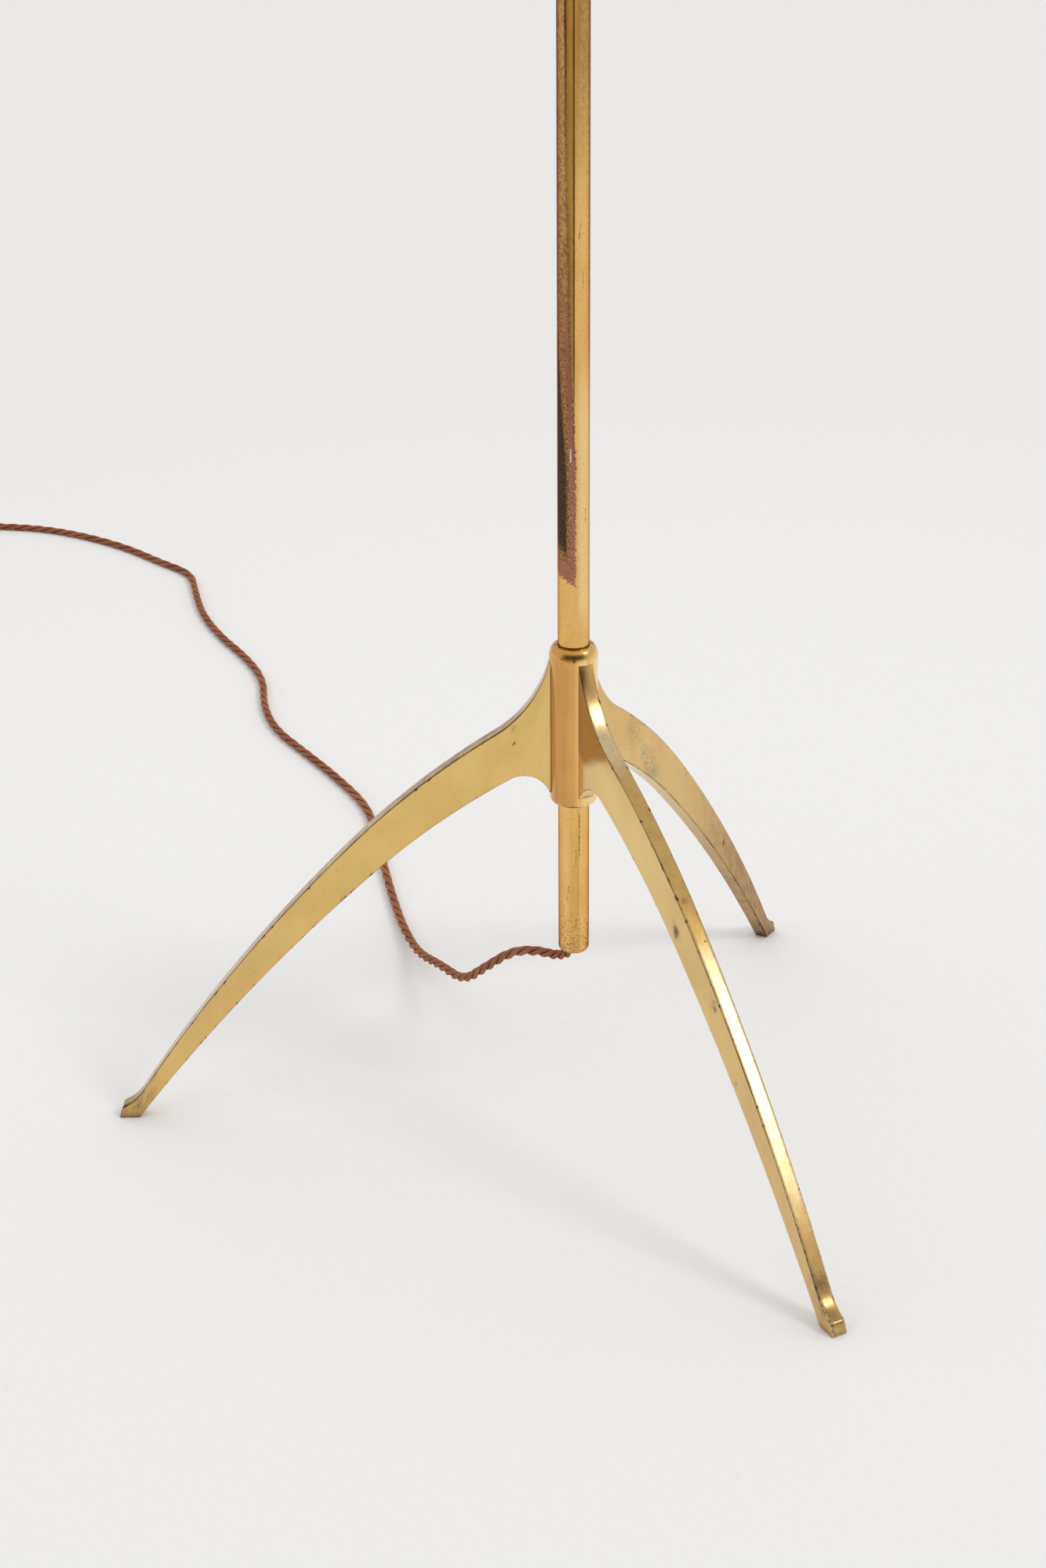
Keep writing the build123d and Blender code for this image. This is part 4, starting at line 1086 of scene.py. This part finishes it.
def bent(start, leave, arrive, end, count):
    """Points on a smooth bend in (radius, height) between two ends and their handles."""
    points = []
    for index in range(count + 1):
        share = index / count
        left = 1 - share
        radius = left**3 * start[0] + 3 * left**2 * share * leave[0]
        radius += 3 * left * share**2 * arrive[0] + share**3 * end[0]
        height = left**3 * start[1] + 3 * left**2 * share * leave[1]
        height += 3 * left * share**2 * arrive[1] + share**3 * end[1]
        points.append((radius, height))
    return points


def thread(pitch, depth, low, high, rows):
    """Wave of a right-hand screw thread between two heights, on the first rows of an outline."""
    def wave(angle, height, row):
        if row >= rows or not low < height < high:
            return 0.0
        return depth * (0.5 * math.cos(math.tau * height / pitch - angle) - 0.5)
    return wave


fitting_brass = turned_metal("fitting_brass", paint(230, 186, 114), paint(204, 152, 86), 0.2)
ceramic = moulded("holder_ceramic", paint(236, 231, 221), paint(220, 214, 202), 0.5)
dress(fitting_brass, "stem_nipple", "lock_nut", "holder_contact", "holder_screw_shell")
dress(ceramic, "holder_insert", "holder_liner")
waist = ((BOSS_R, CAP_LOW + 0.0048), (BOSS_R, CAP_LOW + 0.0105))
cap_outline = [
    (NIPPLE_HOLE, CAP_LOW), (BOSS_R - 0.0007, CAP_LOW),
    *arc((BOSS_R - BOSS_ROUND, CAP_LOW + BOSS_ROUND), (BOSS_ROUND, BOSS_ROUND), -75, 0, 6),
    *bent(*waist, (CAP_R, CAP_LOW + 0.012), (CAP_R, CAP_SIDE), 26),
    *((CAP_R - sunk, CAP_SIDE + up) for sunk, up in CAP_GROOVE),
    (CAP_R, CAP_TOP - BRASS_ARRIS), (CAP_R - BRASS_ARRIS, CAP_TOP), (CAP_BORE, CAP_TOP),
    (CAP_BORE, SHELF_TOP), (SHELF_R, SHELF_TOP), (SHELF_R, SHELF_LOW),
    (BOSS_BORE, CAP_LOW + BOSS_HEIGHT), (BOSS_BORE, CAP_LOW + CAP_WALL),
    (NIPPLE_HOLE, CAP_LOW + CAP_WALL),
]
holder_cap = turned("holder_cap_spun", cap_outline, fitting_brass)
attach(holder_cap, "stem")
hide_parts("holder_cap")
THREAD_LOW = BODY_SKIRT_TOP + 0.0004
THREAD_ROWS = 112
thread_step = (BODY_TOP - 0.0008 - THREAD_LOW) / THREAD_ROWS
body_outline = [
    (SKIRT_BORE, BODY_LOW), (BODY_R - BRASS_ARRIS, BODY_LOW),
    (BODY_R, BODY_LOW + BRASS_ARRIS), (BODY_R, BODY_SKIRT_TOP),
    *((BODY_R, THREAD_LOW + thread_step * row) for row in range(THREAD_ROWS + 1)),
    (BODY_R - 0.0005, BODY_TOP), (BODY_LIP_R, BODY_TOP), (BODY_LIP_R, BODY_LIP_LOW),
    (BODY_BORE, BODY_LIP_LOW), (BODY_BORE, BODY_SKIRT_TOP), (SKIRT_BORE, BODY_SKIRT_TOP),
]
body_thread = thread(THREAD_PITCH, THREAD_DEPTH, BODY_SKIRT_TOP, BODY_TOP - 0.0003, THREAD_ROWS + 5)
holder_body = turned("holder_body_threaded", body_outline, fitting_brass, 96, sharp=50.0, wave=body_thread)
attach(holder_body, "stem")
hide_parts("holder_body")


# Shade rings: two knurled brass rings on the lampholder's thread, which pinch the shade's gallery.
RING_BORE = 0.02005
RING_R = 0.02205
RING_HEIGHT = 0.0032
RING_CHAMFER = 0.00045
RING_INNER = RING_R - RING_CHAMFER
KNURL_TEETH = 72
KNURL_DEPTH = 0.00024
RINGS = {"shade_ring_lower": 1.279, "shade_ring_upper": 1.2855}


def knurl(angle, height, row):
    """Teeth cut along the three rows of a ring's rim."""
    return KNURL_DEPTH * (0.5 * math.cos(angle * KNURL_TEETH) - 0.5) if 2 <= row <= 4 else 0.0


for name, ring_low in RINGS.items():
    ring_top = ring_low + RING_HEIGHT
    ring_middle = ring_low + RING_HEIGHT / 2
    ring_outline = [
        (RING_BORE, ring_low), (RING_INNER, ring_low), (RING_R, ring_low + RING_CHAMFER),
        (RING_R, ring_middle), (RING_R, ring_top - RING_CHAMFER),
        (RING_INNER, ring_top), (RING_BORE, ring_top),
    ]
    ring = turned(name + "_knurled", ring_outline, fitting_brass, KNURL_TEETH * 6, sharp=60.0, wave=knurl)
    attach(ring, "stem")
    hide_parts(name)


# Switch: a dark moulded bar that is pushed through the cap from either side, with a domed button on
# each end.
BAR_R = 0.0025
BUTTON_R = 0.0035
GRIP_DEPTH = 0.0003
GRIP_R = BUTTON_R - GRIP_DEPTH
BUTTON_FACE = 0.0223
BUTTON_END = 0.0273
BAR_SHIFT = 0.003
SWITCH_Z = 1.2575
AXIS_R = 0.0001
switch_plastic = moulded("switch_plastic", paint(62, 44, 34), paint(44, 31, 25), 0.24, depth=0.000008)
button = [
    (BAR_R, 0.0), (BAR_R, BUTTON_FACE), (GRIP_R, BUTTON_FACE), (BUTTON_R, BUTTON_FACE + GRIP_DEPTH),
    (BUTTON_R, BUTTON_END - 0.0022), (GRIP_R, BUTTON_END - 0.002),
    (GRIP_R, BUTTON_END - 0.0017), (BUTTON_R, BUTTON_END - 0.0015),
    *arc((0.0, BUTTON_END - 0.0014), (BUTTON_R, 0.0014), 4, 88, 12),
    (AXIS_R, BUTTON_END),
]
switch_outline = [(radius, -height) for radius, height in reversed(button)] + button[1:]
switch_bar = turned("switch_bar_moulded", switch_outline, switch_plastic, sides=48)
lay_across = Matrix.Translation((BAR_SHIFT, 0.0, SWITCH_Z)) @ Matrix.Rotation(math.radians(90), 4, "Y")
switch_bar.data.transform(lay_across)
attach(switch_bar, "switch")
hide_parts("switch_bar")


# Bulb: a pearl glass bulb in a rolled screw cap, with a glass mount inside that carries the filament.
BULB_CAP_LOW = 1.27815
BULB_CAP_TOP = 1.30315
BULB_CAP_R = 0.013
BULB_CAP_BORE = 0.0115
BULB_PITCH = 0.0036
BULB_THREAD = 0.0011
BULB_THREAD_LOW = BULB_CAP_LOW + 0.003
BULB_THREAD_TOP = BULB_CAP_TOP - 0.0055
BULB_ROWS = 90
FLARE_R = BULB_CAP_R - 0.0005
FLARE_Z = BULB_CAP_TOP - 0.003
bulb_metal = turned_metal("bulb_metal", paint(206, 202, 194), paint(170, 166, 158), 0.28)
dress(bulb_metal, "bulb_contact")
bulb_rise = (BULB_THREAD_TOP - BULB_THREAD_LOW) / BULB_ROWS
flare = ((FLARE_R, FLARE_Z - 0.002), (FLARE_R, FLARE_Z))
bulb_outline = [
    (BULB_CAP_BORE - 0.004, BULB_CAP_LOW), (BULB_CAP_BORE - 0.002, BULB_CAP_LOW + 0.0002),
    *arc((BULB_CAP_R - 0.0026, BULB_CAP_LOW + 0.0026), (0.0024, 0.0024), -80, 0, 8),
    *((BULB_CAP_R, BULB_THREAD_LOW + bulb_rise * row) for row in range(BULB_ROWS + 1)),
    *bent(*flare, (BULB_CAP_R, FLARE_Z), (BULB_CAP_R, BULB_CAP_TOP), 8),
    (BULB_CAP_R - 0.0004, BULB_CAP_TOP), (BULB_CAP_BORE + 0.001, BULB_CAP_TOP - 0.0004),
    (BULB_CAP_BORE, BULB_THREAD_LOW), (BULB_CAP_BORE - 0.004, BULB_CAP_LOW + 0.001),
]
thread_ends = (BULB_THREAD_LOW - 0.0001, BULB_THREAD_TOP + 0.0001)
bulb_thread = thread(BULB_PITCH, BULB_THREAD, *thread_ends, BULB_ROWS + 12)
bulb_cap = turned("bulb_cap_rolled", bulb_outline, bulb_metal, 96, sharp=50.0, wave=bulb_thread)
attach(bulb_cap, "bulb")
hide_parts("bulb_cap")
bulb_glass = Finish("bulb_pearl_glass")
glass_cloud = bulb_glass.place().noise(45.0, detail=4.0)
bulb_glass.set(
    Base_Color=glass_cloud.mix(paint(250, 248, 242), paint(244, 240, 230)),
    Roughness=glass_cloud.scaled(0.22, 0.34),
    Transmission_Weight=0.85,
    IOR=1.5,
    Normal=bulb_glass.place().noise(500.0, detail=3.0).raised(0.00002),
)
mount_glass = Finish("bulb_mount_glass")
mount_cloud = mount_glass.place((1.0, 1.0, 0.3)).noise(260.0, detail=4.0)
mount_glass.set(
    Base_Color=mount_cloud.mix(paint(240, 244, 242), paint(226, 232, 230)),
    Roughness=mount_cloud.scaled(0.03, 0.1),
    Transmission_Weight=0.9,
    IOR=1.52,
)
tungsten = turned_metal("bulb_tungsten", paint(120, 116, 112), paint(92, 88, 86), 0.35)
dress(bulb_glass, "bulb_glass")
dress(mount_glass, "bulb_mount")
dress(tungsten, "bulb_filament")


# Shade: a cone of parchment card rolled round two coated wire rings and lapped at the back, edged with
# woven tape. Three wire arms carry it from the gallery.
SHADE_LOW = 1.20035
SHADE_TOP = 1.49035
SHADE_LOW_R = 0.250
SHADE_TOP_R = 0.200
CARD_ACROSS = 0.00081
SHADE_SIDES = 192
SHADE_ROWS = 24
LAP_WIDTH = 0.011
LAP_PROUD = 0.00032
LAP_SUNK = -0.0003
LAP_SECTION = ((-1, LAP_SUNK), (-1, LAP_PROUD), (0, LAP_PROUD), (1, LAP_PROUD), (1, LAP_SUNK))
LAP_TURN = math.radians(90)
TRIM_HEIGHT = 0.012
TRIM_ACROSS = 0.00051
TRIM_OUT = 0.00056
TRIM_SECTION = (
    (-TRIM_ACROSS, 0.0), (-0.0002, 0.0), (0.0, 0.0003), (0.0, 0.002), (-0.00006, 0.004), (-0.00006, 0.008),
    (0.0, 0.010), (0.0, TRIM_HEIGHT - 0.0003), (-0.0002, TRIM_HEIGHT), (-TRIM_ACROSS, TRIM_HEIGHT),
)
shade_slope = (SHADE_LOW_R - SHADE_TOP_R) / (SHADE_TOP - SHADE_LOW)
shade_card = Finish("shade_card")
card_cloud = shade_card.place().noise(14.0, detail=7.0, roughness=0.62)
card_rolled = shade_card.place((60.0, 60.0, 420.0))
card_fibre = card_rolled.noise(1.0, detail=6.0, roughness=0.7, distortion=1.6)
card_fleck = shade_card.place((260.0, 260.0, 90.0)).noise(1.0, detail=3.0, distortion=2.4)
shade_card.tone = card_cloud.step(0.3, 0.7).mix(paint(226, 206, 166), paint(240, 224, 190))
shade_card.wash(card_fibre.step(0.5, 0.75) * 0.4, paint(206, 180, 134))
shade_card.wash(card_fleck.step(0.68, 0.76) * 0.5, paint(176, 144, 98))
shade_card.set(
    Base_Color=shade_card.tone,
    Roughness=card_fibre.scaled(0.5, 0.72),
    Normal=card_fibre.raised(0.00016),
)


def shade_radius(height):
    return SHADE_LOW_R - (height - SHADE_LOW) * shade_slope


card_heights = [SHADE_LOW + (SHADE_TOP - SHADE_LOW) * row / SHADE_ROWS for row in range(SHADE_ROWS + 1)]
card_outline = [
    *((shade_radius(height), height) for height in card_heights),
    *((shade_radius(height) - CARD_ACROSS, height) for height in reversed(card_heights)),
]
card_points = turned_points(card_outline, SHADE_SIDES)
card_faces = ring_faces(len(card_outline), SHADE_SIDES, True)
lap_base = len(card_points)
for height in card_heights:
    radius = shade_radius(height)
    half = LAP_WIDTH / 2 / radius
    for aside, proud in LAP_SECTION:
        angle = LAP_TURN + aside * half
        card_points.append(((radius + proud) * math.cos(angle), (radius + proud) * math.sin(angle), height))
lap_faces = tube_faces(lap_base, len(card_heights), len(LAP_SECTION))
card_faces += [tuple(reversed(face)) for face in lap_faces]
shade_skin = made_mesh("shade_skin_card", card_points, card_faces, shade_card, sharp=40.0)
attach(shade_skin, "shade")
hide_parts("shade_skin")


def woven(name, pale, deep, threads):
    """Woven tape: fine threads crossing, with a soft surface."""
    tape = Finish(name)
    wave = {"Vector": tape.mark("tape_place", "Vector"), "Scale": threads, "Distortion": 0.6, "Detail": 2.0}
    warp = tape.value("TexWave", wave, "Fac", bands_direction="X")
    weave = warp * tape.value("TexWave", wave, "Fac", bands_direction="Y")
    tape.tone = weave.mix(deep, pale)
    tape.wash(tape.place().noise(60.0, detail=5.0).step(0.5, 0.75) * 0.35, deep)
    tape.set(
        Base_Color=tape.tone,
        Roughness=0.85,
        Sheen_Weight=0.25,
        Sheen_Roughness=0.5,
        Normal=weave.raised(0.00012),
    )
    return tape


trim_tape = woven("shade_tape", paint(208, 186, 146), paint(168, 142, 100), 420.0)
TRIMS = {"shade_trim_bottom": SHADE_LOW, "shade_trim_top": SHADE_TOP - TRIM_HEIGHT}
for name, trim_low in TRIMS.items():
    trim_outline = []
    for out, up in TRIM_SECTION:
        trim_outline.append((shade_radius(trim_low + up) + TRIM_OUT + out, trim_low + up))
    trim = turned(name + "_tape", trim_outline, trim_tape, sides=SHADE_SIDES)
    tape_places = []
    for radius, height in trim_outline:
        for side in range(SHADE_SIDES):
            angle = math.pi - abs(math.pi - math.tau * side / SHADE_SIDES)
            tape_places += [angle * SHADE_LOW_R, height - trim_low, 0.0]
    lay_on(trim, "tape_place", tape_places)
    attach(trim, "shade")
    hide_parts(name)
wire_coat = moulded("shade_wire_coat", paint(232, 228, 218), paint(212, 206, 194), 0.35)
dress(wire_coat, "shade_gallery", "shade_arms", "shade_bottom_ring", "shade_top_ring")


# Coil tie: a strip of dark woven tape round the spare turns of flex.
TIE_TURN = math.radians(315)
TIE_NEAR = 0.02019
TIE_FAR = 0.03858
TIE_LOW = 0.0009
TIE_HIGH = 0.0129
TIE_THICK = 0.0008
TIE_WIDTH = 0.009
TIE_ROUND = 0.003
TIE_CORNER = 7
tie_tape = woven("tie_tape", paint(74, 64, 56), paint(42, 36, 32), 700.0)
tie_corners = (
    (TIE_FAR - TIE_ROUND, TIE_LOW + TIE_ROUND, -90), (TIE_FAR - TIE_ROUND, TIE_HIGH - TIE_ROUND, 0),
    (TIE_NEAR + TIE_ROUND, TIE_HIGH - TIE_ROUND, 90), (TIE_NEAR + TIE_ROUND, TIE_LOW + TIE_ROUND, 180),
)
tie_loop = []
for out, up, start in tie_corners:
    for index in range(TIE_CORNER):
        angle = math.radians(start + 90 * index / (TIE_CORNER - 1))
        tie_loop.append((Vector((out, up)), Vector((math.cos(angle), math.sin(angle)))))
TIE_EDGE = ((0.0, -0.5), (0.7, -0.5), (1.0, -0.46), (1.0, 0.0), (1.0, 0.46), (0.7, 0.5), (0.0, 0.5))
tie_points = []
tie_places = []
tie_around = Matrix.Translation(COIL_CENTRE) @ Matrix.Rotation(TIE_TURN, 4, "Z")
run = 0.0
before = tie_loop[0][0]
for centre, spoke in tie_loop:
    for lift, across in TIE_EDGE:
        place = centre + spoke * (TIE_ROUND + TIE_THICK * lift)
        tie_points.append(tie_around @ Vector((place.x, across * TIE_WIDTH, place.y)))
        tie_places += [run, across * TIE_WIDTH, 0.0]
    run += (centre - before).length + 0.0008
    before = centre
tie_faces = ring_faces(len(tie_loop), len(TIE_EDGE), True)
tie = made_mesh("coil_tie_strip", tie_points, tie_faces, tie_tape, sharp=60.0)
lay_on(tie, "tape_place", tie_places)
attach(tie, "tripod")
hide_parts("coil_tie")


# Plug: a ribbed rubber boot grips the flex, and a domed moulded cover is held to the body by a screw
# between its two round pins. It lies on its side by the coil.
BOOT_BORE = 0.0027
BOOT_TIP = 0.0043
BOOT_END_R = 0.00625
BOOT_LENGTH = 0.032
BOOT_TOP = 0.0342
BOOT_RIBS = 8
BOOT_GROOVE = 0.0007
RIB_SECTION = ((0.06, 0.0), (0.5, 0.0), (0.58, 0.5), (0.68, 1.0), (0.84, 1.0), (0.94, 0.5))
PLUG_R = 0.0185
PLUG_NECK_R = 0.0085
NECK_ROUND = 0.0008
COVER_END = 0.062
COVER_WALL = 0.0022
COVER_BORE = PLUG_R - COVER_WALL
COVER_SHOULDER = BOOT_LENGTH + 0.018
lay_plug = Matrix.Translation(PLUG_MOUTH) @ Matrix.Rotation(math.radians(90), 4, "X")
plug_rubber = moulded("plug_rubber", paint(58, 50, 46), paint(40, 35, 32), 0.6, grain=1500.0)
plug_plastic = moulded("plug_plastic", paint(72, 52, 42), paint(52, 38, 31), 0.34, grain=1400.0)
dress(plug_plastic, "plug_body")
dress(fitting_brass, "plug_pins", "plug_earth_clips")
boot_outline = [(BOOT_BORE, 0.0), (BOOT_TIP - 0.0004, 0.0)]
rib_step = BOOT_LENGTH / BOOT_RIBS
for rib in range(BOOT_RIBS):
    for share, sunk in RIB_SECTION:
        along = (rib + share) * rib_step
        reach = BOOT_TIP + (BOOT_END_R - BOOT_TIP) * along / BOOT_LENGTH
        boot_outline.append((reach - sunk * BOOT_GROOVE, along))
boot_outline += [(BOOT_END_R, BOOT_LENGTH), (BOOT_END_R, BOOT_TOP), (BOOT_BORE, BOOT_TOP)]
plug_boot = turned("plug_boot_ribbed", boot_outline, plug_rubber, sides=64, sharp=50.0)
neck_middle = (PLUG_NECK_R - NECK_ROUND, BOOT_LENGTH + NECK_ROUND)
neck = ((PLUG_NECK_R, BOOT_LENGTH + 0.002), (PLUG_NECK_R + 0.0005, BOOT_LENGTH + 0.009))
cover_outline = [
    (PLUG_NECK_R - COVER_WALL, BOOT_LENGTH), (PLUG_NECK_R - NECK_ROUND, BOOT_LENGTH),
    *arc(neck_middle, (NECK_ROUND, NECK_ROUND), -70, 0, 5),
    *bent(*neck, (PLUG_R, BOOT_LENGTH + 0.0075), (PLUG_R, COVER_SHOULDER), 20),
    (PLUG_R, COVER_END - 0.0005), (PLUG_R - 0.0004, COVER_END), (COVER_BORE, COVER_END),
    (COVER_BORE, COVER_SHOULDER), (PLUG_NECK_R - COVER_WALL, BOOT_LENGTH + 0.005),
]
plug_cover = turned("plug_cover_domed", cover_outline, plug_plastic, sides=96)
PLUG_PIECES = {"plug_boot": (plug_boot, "plug_rubber"), "plug_cover": (plug_cover, "plug_plastic")}
for name, (piece, slot) in PLUG_PIECES.items():
    piece.data.transform(lay_plug)
    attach(piece, "tripod")
    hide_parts(name)
